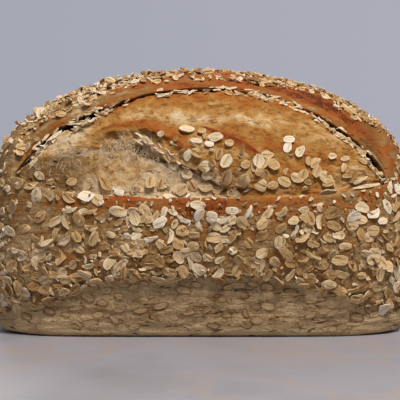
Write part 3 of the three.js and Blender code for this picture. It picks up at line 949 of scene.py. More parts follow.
def sliver_places(form, rng):
    """Places and heights of the slivers, how far out they lie and their turn: ragged groups on
    both edges of the crack, which follow its slope, and a bundle that runs down under the flap's
    left rim."""
    along = np.concatenate([rng.uniform(*group) for group in SLIVER_GROUPS])
    along = along[(ragged(along, 17.0) > -0.25) | (along > 82.0)]
    u = along / form.half_length
    slope = np.arctan2(form.crack(u + 0.01) - form.crack(u - 0.01), 0.02 * form.half_length)
    share, below = rng.uniform(0.0, 1.0, RIM_SLIVERS), rng.uniform(3.0, 7.0, RIM_SLIVERS)
    x = np.concatenate([along, mix(-30.0, -7.0, share) - 0.49 * below])
    low_edge = form.crack(u) - form.gap(u) - rng.uniform(0.0, 1.8, len(u))
    high_edge = form.crack(u) + rng.uniform(-0.4, 0.9, len(u))
    height = np.where(rng.uniform(0.0, 1.0, len(u)) < 0.28, high_edge, low_edge)
    height = np.concatenate([height, mix(107.5, 95.5, share) - 0.87 * below])
    out = np.concatenate([np.full(len(u), 0.5), rng.uniform(0.6, 2.0, RIM_SLIVERS)])
    turn = np.concatenate([slope + rng.normal(0.0, 0.32, len(u)), rng.normal(-0.55, 0.25, RIM_SLIVERS)])
    return x, height, out, turn


def tubes(paths, radii, sides):
    """Points of round tubes along paths: a ring square to the path at each of its points. Its
    first axis is square to the path and to a slanted line that no path runs along."""
    ahead = unit(np.gradient(paths, axis=1))
    first = unit(np.cross(ahead, np.array([0.31, 0.9, 0.2])))
    second = np.cross(first, ahead)
    angle = (np.arange(sides) * 2 * np.pi / sides)[None, None, :, None]
    ring = first[:, :, None] * np.cos(angle) + second[:, :, None] * np.sin(angle)
    return paths[:, :, None] + ring * radii[:, :, None, None]


def make_strands(sizes, material):
    """Thin strands of gluten that were drawn out as the score tore, as one piece."""
    form = LoafForm(sizes)
    paths, radii = gluten_paths(form, np.random.default_rng(STRAND_SEED))
    points = tubes(paths, radii, STRAND_SIDES)
    count, steps, sides = points.shape[:3]
    faces = loop_faces(steps, sides)[None] + (np.arange(count) * steps * sides)[:, None, None]
    mesh = mesh_from("gluten_strands", points.reshape(-1, 3), faces.reshape(-1, 4))
    close_ends(mesh)
    add_piece(mesh, material)


# Places of the flakes

def pick_places(u, grid, spacing_of, count, seed):
    """Random places on a grid's cells, drawn by area, with their normals. A place is kept when no
    kept one is closer than its spacing."""
    rng = np.random.default_rng(seed)
    here, along, across = grid[:-1], grid[1:], np.roll(grid, -1, axis=1)[:-1]
    normal = np.cross(along - here, across - here)
    area = np.linalg.norm(normal, axis=-1)
    spacing = spacing_of(here, u[:-1], unit(normal))
    weight = np.where(np.isfinite(spacing), area / np.maximum(spacing, 1.0) ** 2, 0.0).ravel()
    cell = rng.choice(weight.size, size=count, p=weight / weight.sum())
    row, column = np.unravel_index(cell, area.shape)
    s, t = rng.uniform(0, 1, (2, count))
    corner = here[row, column]
    points = corner + (along[row, column] - corner) * s[:, None]
    points = points + (across[row, column] - corner) * t[:, None]
    keep = far_apart(points, spacing[row, column])
    return points[keep], unit(normal[row, column])[keep]


def far_apart(points, spacing):
    """Which points to keep, taken in order, so that each is at least its own spacing from those
    kept before it. Kept points are sorted into cubes so that only near ones are measured."""
    keys = np.floor(points / float(np.max(spacing))).astype(int)
    kept, cubes = [], {}
    for index, (key, point, gap) in enumerate(zip(map(tuple, keys), points, spacing)):
        near = [
            other
            for dx in (-1, 0, 1) for dy in (-1, 0, 1) for dz in (-1, 0, 1)
            for other in cubes.get((key[0] + dx, key[1] + dy, key[2] + dz), ())
        ]
        if near and np.min(np.sum((points[near] - point) ** 2, axis=1)) < gap * gap:
            continue
        kept.append(index)
        cubes.setdefault(key, []).append(index)
    return np.array(kept, int)


def crust_spacing(form, points, u, normals, dense, lip_edge):
    """How far apart flakes lie on the crust: dense on the band and over the crown, looser near the
    lip, strays on the strip over the crack, and none on the bare wall, round the crack's right end
    or in the tear. lip_edge is how much looser, and the millimetres of the lip that stay bare."""
    x, y, z = points[..., 0], points[..., 1], points[..., 2]
    lip, crack = form.lip(u), form.crack(u)
    front = (y < 0) & (form.open(u) > 0.5)
    gap = dense * (1.0 + 0.45 * noise(points, 13.0, 3.0))
    gap = gap * (1.0 + 0.5 * smooth(-66.0, -84.0, x) * smooth(52.0, 66.0, z))
    gap = np.where(z < form.ledge(u) - 1.0, np.inf, gap)
    inward = smooth(-60.0, -20.0, x)
    gap = np.where(front & (z > lip - 7.0), dense * mix(1.15, lip_edge, inward), gap)
    gap = np.where(front & (z > lip - mix(0.8, lip_edge, inward)), np.inf, gap)
    rim = bare_rim(x) * (1.0 + 0.35 * noise(points, 9.0, 8.0))
    crown = dense * 0.9 * (1.0 + 0.3 * noise(points, 12.0, 6.0))
    strays = noise(points, (9.0, 9.0, 5.0), 14.0) > mix(0.3, 0.7, smooth(-60.0, -10.0, x))
    gap = np.where(front & (z > crack + 1.5) & strays, dense * mix(0.9, 1.3, smooth(-60.0, -30.0, x)), gap)
    gap = np.where(front & (z > crack + rim), crown, gap)
    gap = np.where((y < 0) & (np.hypot((x - 94.0) / 11.0, (z - 94.0) / 12.0) < 1.0), np.inf, gap)
    facing_out = normals[..., 1] * np.sign(y) > -0.2
    return np.where(facing_out, gap, np.inf)


def crumb_spacing(form, points, u, dense):
    """How far apart small flakes lie on the crumb: dense on the flap, and in loose groups to its
    right and at the foot of the hollow."""
    x, z = points[..., 0], points[..., 2]
    edge, top, lip = form.flap_edge(u), table(x, FLAP_TOP), form.lip(u)
    groups = noise(points, 13.0, 12.0)
    gap = np.full(x.shape, np.inf)
    on_flap = (z > edge + 0.5) & (z < top - 2.5) & (x > -22.0) & (x < 36.0)
    gap = np.where(on_flap, dense * 1.15 * (1.0 + 0.4 * noise(points, 12.0, 2.0)), gap)
    right = (x >= 34.0) & (x < 92.0) & (z < mix(96.0, 84.0, smooth(34.0, 90.0, x)))
    gap = np.where(right & (groups > 0.1), dense * 1.9, gap)
    foot = (z < lip + 6.0) & (z < edge) & (x > -84.0) & (x < 20.0)
    gap = np.where(foot & (groups > -0.2), dense * 1.3, gap)
    return gap


def wall_spacing(form, points, u):
    """How far apart flakes pressed into the bare wall lie."""
    z = points[..., 2]
    low, high = form.base(u) + 4.0, form.ledge(u) - 1.0
    gap = 7.0 * (1.0 + 0.6 * noise(points, 16.0, 5.0))
    return np.where((z > low) & (z < high), gap, np.inf)


def surface_at(grid, places):
    """For places given by x and z, the nearest point of the grid's outer face and its normal."""
    flat = grid[:, :OUTER_STEPS].reshape(-1, 3)
    normals = grid_normals(grid)[:, :OUTER_STEPS].reshape(-1, 3)
    gap = np.hypot(flat[None, :, 0] - places[:, None, 0], flat[None, :, 2] - places[:, None, 1])
    nearest = gap.argmin(axis=1)
    return flat[nearest], normals[nearest]


# Shapes of the flakes

# A flake's rings of points, from the top down: size against the outline, height against the
# thickness, and then for its top, its rings and its underside how near the rim each counts
SPREAD = np.array([0.55, 1.0, 0.97])
LEVEL = np.array([0.5, 0.42, -0.5])
NEAR_RIM = np.array([0.0, 0.55, 1.0, 1.0, 0.0])

# Height that no flake dips below, and a cut that lies outside every flake, in millimetres
LOWEST_FLAKE = 0.4
NO_CUT = 9.0

# Upright but for a slight slant, which gives flakes on level places a direction too
NEARLY_UP = (0.0, 0.02, 1.0)


def flake_faces(sides):
    """Triangles of one flake: a fan on top, a ring, the thin rim and a fan underneath."""
    side = np.arange(sides)
    after = (side + 1) % sides
    triangles = [np.stack([np.zeros_like(side), 1 + side, 1 + after], axis=-1)]
    for ring in range(len(SPREAD) - 1):
        a, b = 1 + ring * sides + side, 1 + ring * sides + after
        c, d = b + sides, a + sides
        triangles += [np.stack([a, d, c], axis=-1), np.stack([a, c, b], axis=-1)]
    last = 1 + len(SPREAD) * sides
    lowest = 1 + (len(SPREAD) - 1) * sides
    triangles.append(np.stack([np.full_like(side, last), lowest + after, lowest + side], axis=-1))
    return np.concatenate(triangles)


def flake_shapes(lengths, widths, look, rng):
    """Points of flakes in their own axes, in millimetres: X along the grain, Z up. Each is an
    oval whose outline is a circle plus waves of random size, cut off if broken, curled by a
    random saddle. The top has a hump on each side of the crease, and the rim is thin."""
    count, sides = len(lengths), look["sides"]
    angle = (np.arange(sides) * 2 * np.pi / sides)[None, :] + rng.uniform(-0.12, 0.12, (count, sides))
    outline = np.ones((count, sides))
    for wave in range(2, 6):
        strength = rng.normal(0.0, look["ragged"] / wave, (count, 1))
        outline += strength * np.cos(wave * angle + rng.uniform(0, 2 * np.pi, (count, 1)))
    outline += rng.normal(0.0, 0.22 * look["ragged"], (count, sides))
    rim_x = lengths[:, None] / 2 * outline * np.cos(angle)
    rim_y = widths[:, None] / 2 * outline * np.sin(angle)
    cut = np.where(
        rng.uniform(0, 1, (count, 1)) < look["broken"],
        rng.uniform(-0.2, 0.5, (count, 1)) * widths[:, None] / 2,
        NO_CUT,
    )
    rim_y = np.minimum(rim_y, cut + rng.normal(0.0, 0.2, (count, sides)))
    thick = look["thickness"] * rng.uniform(0.7, 1.3, (count, 1, 1))
    x = rim_x[:, None, :] * SPREAD[None, :, None]
    y = rim_y[:, None, :] * SPREAD[None, :, None]
    z = LEVEL[None, :, None] * thick + rng.normal(0.0, look["crumple"], (count, 1, sides))
    z[:, 0] += look["crease"] * rng.uniform(0.0, 1.2, (count, 1)) * np.abs(np.sin(angle)) ** 0.7
    body = np.stack([x, y, z], axis=-1).reshape(count, -1, 3)
    middle = np.stack([np.zeros(count), y.mean(axis=(1, 2)), np.zeros(count)], axis=-1)[:, None]
    top, under = middle.copy(), middle.copy()
    top[..., 2] = 0.5 * thick[..., 0] - 0.12
    under[..., 2] = -0.5 * thick[..., 0]
    points = np.concatenate([top, body, under], axis=1)
    bend = rng.normal(0.0, look["curl"], (count, 3, 1))
    px, py = points[..., 0], points[..., 1]
    points[..., 2] += bend[:, 0] * px * px / 5 + bend[:, 1] * py * py / 4 + bend[:, 2] * px * py / 5
    return points


def turned(vectors, axis, angle):
    """Vectors turned about unit axes by angles, by Rodrigues' formula."""
    cos, sin = np.cos(angle)[:, None], np.sin(angle)[:, None]
    along = np.sum(vectors * axis, axis=1, keepdims=True)
    return vectors * cos + np.cross(axis, vectors) * sin + axis * along * (1 - cos)


def stand_flakes(shapes, places, normals, turn, lean, lift, rng):
    """Sets flakes on their places: turned about the normal from level, leaned about a random axis,
    and raised by what the lean needs and by lift."""
    count = len(places)
    level = unit(np.cross(NEARLY_UP, normals))
    upward = np.cross(normals, level)
    ahead = np.cos(turn)[:, None] * level + np.sin(turn)[:, None] * upward
    across = np.cross(normals, ahead)
    spin = rng.uniform(0, 2 * np.pi, count)[:, None]
    axis = np.cos(spin) * ahead + np.sin(spin) * across
    angle = (rng.normal(0.0, 1.0, count) * lean).clip(-1.3, 1.3)
    ahead, out = turned(ahead, axis, angle), turned(normals, axis, angle)
    axes = np.stack([ahead, np.cross(out, ahead), out], axis=1)
    size = np.abs(shapes[..., :2]).max(axis=(1, 2))
    raised = lift + 0.42 * np.abs(np.sin(angle)) * size
    centre = places + normals * raised[:, None]
    return np.einsum("nkj,nji->nki", shapes, axes) + centre[:, None]


def make_flakes(name, look, stand, material, rng):
    """One joined mesh of all flakes of a kind, with each point's place on its flake, how near it
    is to the rim, and each flake's tone. The rim's edges are sharp, and none dips to the floor."""
    places, normals, turn, lean, lift, tone, lengths, widths = stand
    shapes = flake_shapes(lengths, widths, look, rng)
    points = stand_flakes(shapes, places, normals, turn, lean, lift, rng)
    points[..., 2] = np.maximum(points[..., 2], LOWEST_FLAKE)
    count, each = shapes.shape[:2]
    sides = look["sides"]
    faces = (flake_faces(sides)[None] + (np.arange(count) * each)[:, None, None]).reshape(-1, 3)
    mesh = mesh_from(name, points.reshape(-1, 3), faces)
    grain = shapes.copy()
    grain[..., 1] += rng.normal(0.0, 0.7, (count, 1))
    grain[..., 2] = rng.uniform(0, 100, (count, 1))
    ring = np.concatenate([[0], np.repeat([1, 2, 3], sides), [4]])
    add_attribute(mesh, "grain", grain.reshape(-1, 3))
    add_attribute(mesh, "tone", np.repeat(tone, each))
    add_attribute(mesh, "rim", np.tile(NEAR_RIM[ring], count))
    ends = np.empty(len(mesh.edges) * 2, np.int32)
    mesh.edges.foreach_get("vertices", ends)
    at = ring[ends.reshape(-1, 2) % each]
    mesh.edges.foreach_set("use_edge_sharp", (at[:, 0] == at[:, 1]) & (at[:, 0] > 1))
    add_piece(mesh, material)


def standing(places, normals, rng, look, turn, lean, lift, tone, scale=1.0):
    """What make_flakes needs for flakes of random size at the given places."""
    count = len(places)
    size = scale * rng.normal(1.0, look["spread"], count).clip(0.5, 1.2)
    slim = rng.normal(1.0, 0.14, count).clip(0.65, 1.1)
    full = np.ones(count)
    length, width = look["length"] * size, look["width"] * size * slim
    return places, normals, turn, lean * full, lift * full, tone, length, width


def make_torn_skin(form, looks, material, rng):
    """Slivers of torn skin along the crack and under the flap's rim, and the long ones."""
    look = looks["slivers"]
    x, height, out, turn = sliver_places(form, rng)
    u = x / form.half_length
    places = form.place(u, -1.0, form.crumb(u, height) + out, height)
    normals = unit(np.tile(SLIVER_FACING, (len(x), 1)))
    stand = standing(places, normals, rng, look, turn, 0.5, 0.1, rng.uniform(0, 1, len(x)))
    make_flakes("torn_skin", look, stand, material, rng)
    crumb = crumb_grid(form)[1]
    make_given("torn_skin_strips", LONG_SLIVERS, looks["strips"], crumb, 0.1, material, rng)


def loaf_places(form, crust, crumb, dense, layer):
    """Places of a layer of flakes, on the crust and on the crumb, with their normals."""
    share, lip_edge, tries, seed = layer
    gap, crumb_tries = dense * share, tries // CRUST_TRIES_PER_CRUMB_TRY
    on_crust = pick_places(*crust, lambda p, u, n: crust_spacing(form, p, u, n, gap, lip_edge), tries, seed)
    on_crumb = pick_places(*crumb, lambda p, u, n: crumb_spacing(form, p, u, gap), crumb_tries, seed + 1)
    return [np.concatenate(pair) for pair in zip(on_crust, on_crumb)]


def low_on_band(z):
    """1 on the lower part of the band of flakes and below it, and 0 on its upper part."""
    return 1.0 - smooth(38.0, 62.0, z)


def make_loose_flakes(form, looks, crust, crumb, dense, material, rng):
    """Whole and broken flakes: a dense layer and a sparse one on top. Over the crack they stand
    steeper on the left, and are darker and flatter on the rest. On the band they are palest under
    the middle of the lip, and darker low down, which is painted shade. A few are floury all over."""
    points, normals = loaf_places(form, crust, crumb, dense, LOWER_LAYER)
    second, second_normals = loaf_places(form, crust, crumb, dense, UPPER_LAYER)
    lift = np.concatenate([rng.uniform(0.05, 0.5, len(points)), rng.uniform(0.8, 1.3, len(second))])
    points = np.concatenate([points, second])
    normals = np.concatenate([normals, second_normals])
    x, z, count = points[:, 0], points[:, 2], len(points)
    crown = smooth(6.0, 16.0, z - form.lip(x / form.half_length))
    lean = 0.26 + crown * mix(0.39, -0.10, smooth(-60.0, 10.0, x))
    tone = rng.normal(0.56, 0.18, count)
    tone = np.where(rng.uniform(0, 1, count) < 0.07, rng.uniform(0.76, 0.90, count), tone)
    tone = tone + 0.27 * bump(0.0, 50.0, x) * bump(66.0, 10.0, z) - 0.16 * crown * smooth(-50.0, -10.0, x)
    low = low_on_band(z) * (1.0 - 1.1 * smooth(72.0, 96.0, np.abs(x)))
    # Painted shade: flakes darker low on the band, where less of the light from above falls
    tone = (tone - 0.15 * low).clip(0.02, 1.0)
    turn = rng.normal(0.0, 0.75, count)
    is_broken = rng.uniform(0, 1, count) < 0.30
    for name, key, chosen in (("oat_flakes", "loose", ~is_broken), ("oat_halves", "broken", is_broken)):
        stand = standing(
            points[chosen], normals[chosen], rng, looks[key],
            turn[chosen], lean[chosen], lift[chosen], tone[chosen], 1.0 - 0.25 * crown[chosen],
        )
        make_flakes(name, looks[key], stand, material, rng)


def make_given(name, listed, look, grid, lift, material, rng):
    """Flakes or slivers at the listed places on the crumb, of the listed sizes."""
    given = np.array(listed)
    spots, normals = surface_at(grid, given[:, [0, 1]])
    full = np.ones(len(given))
    turn = np.radians(given[:, 4])
    stand = spots, normals, turn, 0.16 * full, lift * full, given[:, 5], given[:, 2], given[:, 3]
    make_flakes(name, look, stand, material, rng)


def make_bits(form, look, crust, crumb, dense, material, rng):
    """Crushed bits of flakes between the whole ones, most under the middle of the lip, palest
    along the ledge, and in the tear only close above the lip and at its ends."""
    points, normals = loaf_places(form, crust, crumb, dense, BITS_LAYER)
    x, z = points[:, 0], points[:, 2]
    u = x / form.half_length
    in_tear = (z > form.lip(u) + 6.0) & (z < form.crack(u)) & (normals[:, 1] < -0.2) & (np.abs(x) < 90.0)
    share = 0.7 + 0.3 * bump(0.0, 45.0, x) * bump(66.0, 12.0, z)
    some = (rng.uniform(0, 1, len(points)) < share) & ~in_tear
    points, normals, u, z = points[some], normals[some], u[some], z[some]
    # Painted shade: bits darker low on the band, like the flakes there
    tone = rng.normal(0.72, 0.22, len(points)) - 0.22 * low_on_band(z)
    tone = (tone + 0.26 * bump(1.5, 2.5, z - form.ledge(u))).clip(0.1, 1.1)
    turn = rng.uniform(0, 2 * np.pi, len(points))
    make_flakes("oat_bits", look, standing(points, normals, rng, look, turn, 0.5, 0.4, tone), material, rng)


def make_pressed_flakes(form, look, crust, material, rng):
    """Flakes baked flat into the bare wall."""
    points, normals = pick_places(*crust, lambda p, u, n: wall_spacing(form, p, u), WALL_TRIES, WALL_SEED)
    tone = rng.normal(0.80, 0.18, len(points)).clip(0.2, 1.2)
    turn = rng.normal(0.0, 0.3, len(points))
    stand = standing(points, normals, rng, look, turn, 0.05, 0.05, tone)
    make_flakes("pressed_oat_flakes", look, stand, material, rng)


# Materials

SMOOTH = {"interpolation_type": "SMOOTHSTEP"}
MATT = 0.15  # Specular level: low, so that the room's pale mirror image doesn't grey the browns


def linear(hex_text):
    """Linear colour with alpha from an sRGB hex value such as C8A070."""
    levels = np.array([int(hex_text[i:i + 2], 16) for i in (0, 2, 4)]) / 255
    values = np.where(levels <= 0.04045, levels / 12.92, ((levels + 0.055) / 1.055) ** 2.4)
    return (*map(float, values), 1.0)


def grain_scale(millimetres):
    """Scale of a noise whose largest grains measure the given size."""
    return 1.0 / (millimetres * MM)


def add_node(tree, kind, inputs=(), output=0, stops=None, **settings):
    """A node with its settings. An input is a value, or an output of another node to link, and
    stops are a ramp's colours at their places. Gives back the output that is asked for."""
    node = tree.nodes.new("ShaderNode" + kind)
    for key, value in settings.items():
        setattr(node, key, value)
    for key, value in inputs.items() if isinstance(inputs, dict) else enumerate(inputs):
        if isinstance(value, bpy.types.NodeSocket):
            tree.links.new(value, node.inputs[key])
        else:
            node.inputs[key].default_value = value
    if stops:
        elements = node.color_ramp.elements
        while len(elements) < len(stops):
            elements.new(0.5)
        for element, (place, colour) in zip(elements, sorted(stops.items())):
            element.position = place
            element.color = (*colour[:3], 1.0)
    return node.outputs[output] if len(node.outputs) else node


def new_tree(name):
    """A material with an empty node tree, and a function that adds nodes to it."""
    material = bpy.data.materials.new(name)
    material.use_nodes = True
    material.node_tree.nodes.clear()
    return material, functools.partial(add_node, material.node_tree)


def baked_crust(colours):
    """Sourdough crust, a skin of dried starch browned by the oven: matt where floury, a little
    glossy and orange brown where it baked bare on the lip and the ear."""
    material, add = new_tree("baked_sourdough_crust")
    place = add("TexCoord", output="Object")
    bake_and_painted_light = add("Attribute", output="Fac", attribute_name="bake_and_painted_light")
    dark = add("Attribute", output="Fac", attribute_name="dark")
    height = add("SeparateXYZ", [place], output="Z")
    on_wall = add("MapRange", [height, 26.0 * MM, 36.0 * MM, 1.0, 0.0], **SMOOTH)

    # Browner and paler patches a few millimetres wide, weaker on the wall, and a fine grain
    flat = add("Mapping", {"Vector": place, "Scale": (0.5, 0.7, 1.0)})
    patches = add("TexNoise", {"Vector": flat, "Scale": grain_scale(5.0), "Detail": 5.0, "Roughness": 0.65})
    fine = add("TexNoise", {"Vector": place, "Scale": grain_scale(1.3), "Detail": 3.0, "Roughness": 0.7})
    uneven = add("MapRange", [patches, 0.3, 0.7, -0.18, 0.18], **SMOOTH)
    calm = add("Math", [on_wall, -0.2, 1.0], operation="MULTIPLY_ADD")
    level = add("Math", [uneven, calm, bake_and_painted_light], operation="MULTIPLY_ADD")
    speckle = add("MapRange", [fine, 0.3, 0.7, -0.12, 0.12], **SMOOTH)
    level = add("Math", [level, speckle], operation="ADD")
    colour = add("ValToRGB", [level], stops={
        0.0: colours.crust_floury, 0.25: linear("A07F55"), 0.42: linear("8F6637"),
        0.6: colours.crust_golden, 0.78: linear("954A16"), 1.0: colours.crust_dark,
    })

    # Flour in clouds, mostly where the crust is pale
    clouds = add("TexNoise", {"Vector": place, "Scale": grain_scale(3.0), "Detail": 5.0, "Roughness": 0.75})
    clouds = add("MapRange", [clouds, 0.56, 0.76, 0.0, 0.30], **SMOOTH)
    held = add("MapRange", [bake_and_painted_light, 0.35, 0.6, 1.0, 0.15], **SMOOTH)
    flour = add("Math", [clouds, held], operation="MULTIPLY")
    colour = add("Mix", {0: flour, 6: colour, 7: linear("BDAE98")}, 2, data_type="RGBA")

    # Long thin cracks of the wall: where a noise drawn out along it crosses its middle value, painted as dark
    # lines of shade
    long = add("Mapping", {"Vector": place, "Scale": (0.14, 0.14, 1.0)})
    cracks = add("TexNoise", {"Vector": long, "Scale": grain_scale(3.6), "Detail": 2.0, "Roughness": 0.5})
    cracks = add("Math", [cracks, 0.5], operation="SUBTRACT")
    cracks = add("Math", [cracks], operation="ABSOLUTE")
    cracks = add("MapRange", [cracks, 0.006, 0.024, 0.9, 0.0], **SMOOTH)
    some = add("MapRange", [patches, 0.47, 0.55, 0.0, 1.0], **SMOOTH)
    cracks = add("Math", [cracks, some], operation="MULTIPLY")
    cracks = add("Math", [cracks, on_wall], operation="MULTIPLY")
    colour = add("Mix", {0: cracks, 6: colour, 7: linear("3F2A1A")}, 2, data_type="RGBA")
    # Painted shade: the dark attribute darkens the crust deep in the tear, under the ledge and at the crown's
    # right end
    colour = add("Mix", {0: dark, 6: colour, 7: linear("26150C")}, 2, data_type="RGBA")

    # Relief: creases drawn out along the loaf, and blisters
    flat = add("Mapping", {"Vector": place, "Scale": (0.3, 0.3, 1.0)})
    creases = add("TexNoise", {"Vector": flat, "Scale": grain_scale(2.4), "Detail": 4.0, "Roughness": 0.6})
    blisters = add("TexNoise", {"Vector": place, "Scale": grain_scale(1.6), "Detail": 4.0, "Roughness": 0.65})
    normal = add("Bump", {"Height": creases, "Distance": 1.8 * MM, "Strength": 0.8})
    normal = add("Bump", {"Height": blisters, "Distance": 1.0 * MM, "Strength": 0.8, "Normal": normal})
    roughness = add("MapRange", [bake_and_painted_light, 0.45, 0.85, 0.75, 0.5], **SMOOTH)
    shader = add("BsdfPrincipled", {
        "Base Color": colour, "Normal": normal, "Roughness": roughness, "Specular IOR Level": MATT,
    })
    add("OutputMaterial", {"Surface": shader})
    return material


def burst_crumb(colours):
    """Crumb that burst through the score and dried in the oven: stretched gluten, matt, pale
    where it was sheltered and golden where it browned, with painted light in the hollow and painted
    shade in the crack, the pores and the gaps under the flap."""
    material, add = new_tree("burst_sourdough_crumb")
    place = add("TexCoord", output="Object")
    bake_and_painted_light = add("Attribute", output="Fac", attribute_name="bake_and_painted_light")
    dark = add("Attribute", output="Fac", attribute_name="dark")
    fibrous = add("Attribute", output="Fac", attribute_name="fibrous")

    # Grain: drawn out along the tear, and upright where the torn underside hangs in fibres
    flat = add("Mapping", {"Vector": place, "Scale": (0.6, 1.0, 1.0)})
    strands = add("TexNoise", {"Vector": flat, "Scale": grain_scale(3.4), "Detail": 6.0, "Roughness": 0.65})
    tall = add("Mapping", {"Vector": place, "Scale": (1.0, 1.0, 0.5)})
    fibres = add("TexNoise", {"Vector": tall, "Scale": grain_scale(2.0), "Detail": 5.0, "Roughness": 0.65})
    grain = add("Mix", {0: fibrous, 2: strands, 3: fibres})
    fine = add("TexNoise", {"Vector": place, "Scale": grain_scale(0.9), "Detail": 3.0, "Roughness": 0.7})
    uneven = add("MapRange", [grain, 0.3, 0.7, -0.10, 0.10], **SMOOTH)
    speckle = add("MapRange", [fine, 0.3, 0.7, -0.07, 0.07], **SMOOTH)
    level = add("Math", [bake_and_painted_light, uneven], operation="ADD")
    level = add("Math", [level, speckle], operation="ADD")
    colour = add("ValToRGB", [level], stops={
        0.0: colours.crumb_pale, 0.12: linear("CBA674"), 0.25: linear("B98A50"), 0.42: colours.crumb_golden,
        0.62: linear("A05C20"), 0.8: colours.crumb_brown, 1.0: linear("4E220B"),
    })

    # Fine wrinkles of the stretched skin, where a flat noise crosses its middle value, with painted shade in
    # them
    flat = add("Mapping", {"Vector": place, "Scale": (0.3, 0.5, 1.0)})
    lines = add("TexNoise", {"Vector": flat, "Scale": grain_scale(3.2), "Detail": 4.0, "Roughness": 0.6})
    lines = add("Math", [lines, 0.5], operation="SUBTRACT")
    lines = add("Math", [lines], operation="ABSOLUTE")
    lines = add("MapRange", [lines, 0.004, 0.03, 0.6, 0.0], **SMOOTH)
    some = add("MapRange", [strands, 0.44, 0.6, 0.0, 1.0], **SMOOTH)
    wrinkle = add("Math", [lines, some], operation="MULTIPLY")
    colour = add("Mix", {0: wrinkle, 6: colour, 7: linear("5E3614")}, 2, data_type="RGBA")
    # Painted shade: the dark attribute darkens the crumb in the crack, its pores, the gaps under the flap and
    # the hollow's left end
    colour = add("Mix", {0: dark, 6: colour, 7: linear("2C1A10")}, 2, data_type="RGBA")
    relief = add("Math", [wrinkle, -0.3, grain], operation="MULTIPLY_ADD")
    normal = add("Bump", {"Height": relief, "Distance": 1.8 * MM, "Strength": 0.8})
    normal = add("Bump", {"Height": fine, "Distance": 0.5 * MM, "Strength": 0.6, "Normal": normal})
    shader = add("BsdfPrincipled", {
        "Base Color": colour, "Normal": normal, "Roughness": 0.62, "Specular IOR Level": MATT,
    })
    add("OutputMaterial", {"Surface": shader})
    return material


def torn_gluten():
    """Thin torn skin at the edges of the tear: dried gluten film, off-white and matt."""
    material, add = new_tree("torn_gluten_film")
    place = add("TexCoord", output="Object")
    clouds = add("TexNoise", {"Vector": place, "Scale": grain_scale(4.0), "Detail": 3.0, "Roughness": 0.55})
    colour = add("ValToRGB", [clouds], stops={0.35: linear("C8A678"), 0.65: linear("E6D4B6")})
    tooth = add("TexNoise", {"Vector": place, "Scale": grain_scale(0.8), "Detail": 3.0, "Roughness": 0.55})
    normal = add("Bump", {"Height": tooth, "Distance": 0.3 * MM, "Strength": 0.5})
    shader = add("BsdfPrincipled", {
        "Base Color": colour, "Normal": normal, "Roughness": 0.7, "Specular IOR Level": MATT,
    })
    add("OutputMaterial", {"Surface": shader})
    return material


def rolled_oats(name, stops, floury, rim_lift):
    """Rolled oat flakes, steamed and pressed between rollers, then toasted: matt, with darker
    lines along the grain, a rim of another tone and a fine powdery tooth."""
    material, add = new_tree(name)
    tone = add("Attribute", output="Fac", attribute_name="tone")
    rim = add("Attribute", output="Fac", attribute_name="rim")
    grain = add("Attribute", output="Vector", attribute_name="grain")
    place = add("TexCoord", output="Object")

    # Lines of the bran along the flake, 5 mm long and 0.8 mm apart, and the crease in its middle
    long = add("Mapping", {"Vector": grain, "Scale": (0.20, 1.3, 1.0)})
    lines = add("TexNoise", {"Vector": long, "Scale": 1.0, "Detail": 2.0})
    across = add("SeparateXYZ", [grain], output="Y")
    sway = add("MapRange", [lines, 0.3, 0.7, -0.5, 0.5], **SMOOTH)
    crease = add("Math", [across, sway], operation="ADD")
    crease = add("Math", [crease], operation="ABSOLUTE")
    crease = add("MapRange", [crease, 0.1, 0.5, 1.0, 0.0], **SMOOTH)
    inside = add("MapRange", [rim, 0.55, 1.0, 1.0, 0.0], **SMOOTH)
    crease = add("Math", [crease, inside], operation="MULTIPLY")

    powder = add("TexNoise", {"Vector": place, "Scale": grain_scale(0.9), "Detail": 3.0, "Roughness": 0.7})
    streaks = add("MapRange", [lines, 0.32, 0.68, -0.14, 0.09], **SMOOTH)
    level = add("Math", [tone, streaks], operation="ADD")
    # The rim's tone: a little paler on loose flakes; on the flakes baked into the wall it is darker, painted
    # shade where they meet the crust
    edge = add("MapRange", [rim, 0.6, 1.0, -rim_lift / 2, rim_lift], **SMOOTH)
    level = add("Math", [level, edge], operation="ADD")
    level = add("Math", [crease, -0.25, level], operation="MULTIPLY_ADD")
    colour = add("ValToRGB", [level], stops=stops)
    dust = add("MapRange", [powder, 0.52, 0.8, 0.0, floury], **SMOOTH)
    colour = add("Mix", {0: dust, 6: colour, 7: linear("EADCC2")}, 2, data_type="RGBA")
    relief = add("Math", [lines, crease], operation="SUBTRACT")
    normal = add("Bump", {"Height": relief, "Distance": 0.5 * MM, "Strength": 0.5})
    normal = add("Bump", {"Height": powder, "Distance": 0.4 * MM, "Strength": 0.5, "Normal": normal})
    shader = add("BsdfPrincipled", {
        "Base Color": colour, "Normal": normal, "Roughness": 0.66, "Specular IOR Level": MATT,
    })
    add("OutputMaterial", {"Surface": shader})
    return material


def loose_oats(colours):
    """The flakes that lie on the loaf: cream to light brown."""
    return rolled_oats("rolled_oat_flakes", {
        0.0: colours.oats_dark, 0.25: linear("AC8450"), 0.5: colours.oats_toasted,
        0.75: linear("E2CAA4"), 1.0: colours.oats_pale,
    }, 0.25, 0.05)


def sunken_oats():
    """The flakes baked into the wall of the loaf: nearly as brown as the crust, darker round
    their rims with painted shade where they meet the crust."""
    return rolled_oats("oats_baked_into_crust", {
        0.0: linear("5A4228"), 0.3: linear("7A5C3A"), 0.55: linear("96744C"),
        0.8: linear("AA8860"), 1.0: linear("BC9E76"),
    }, 0.10, -0.42)


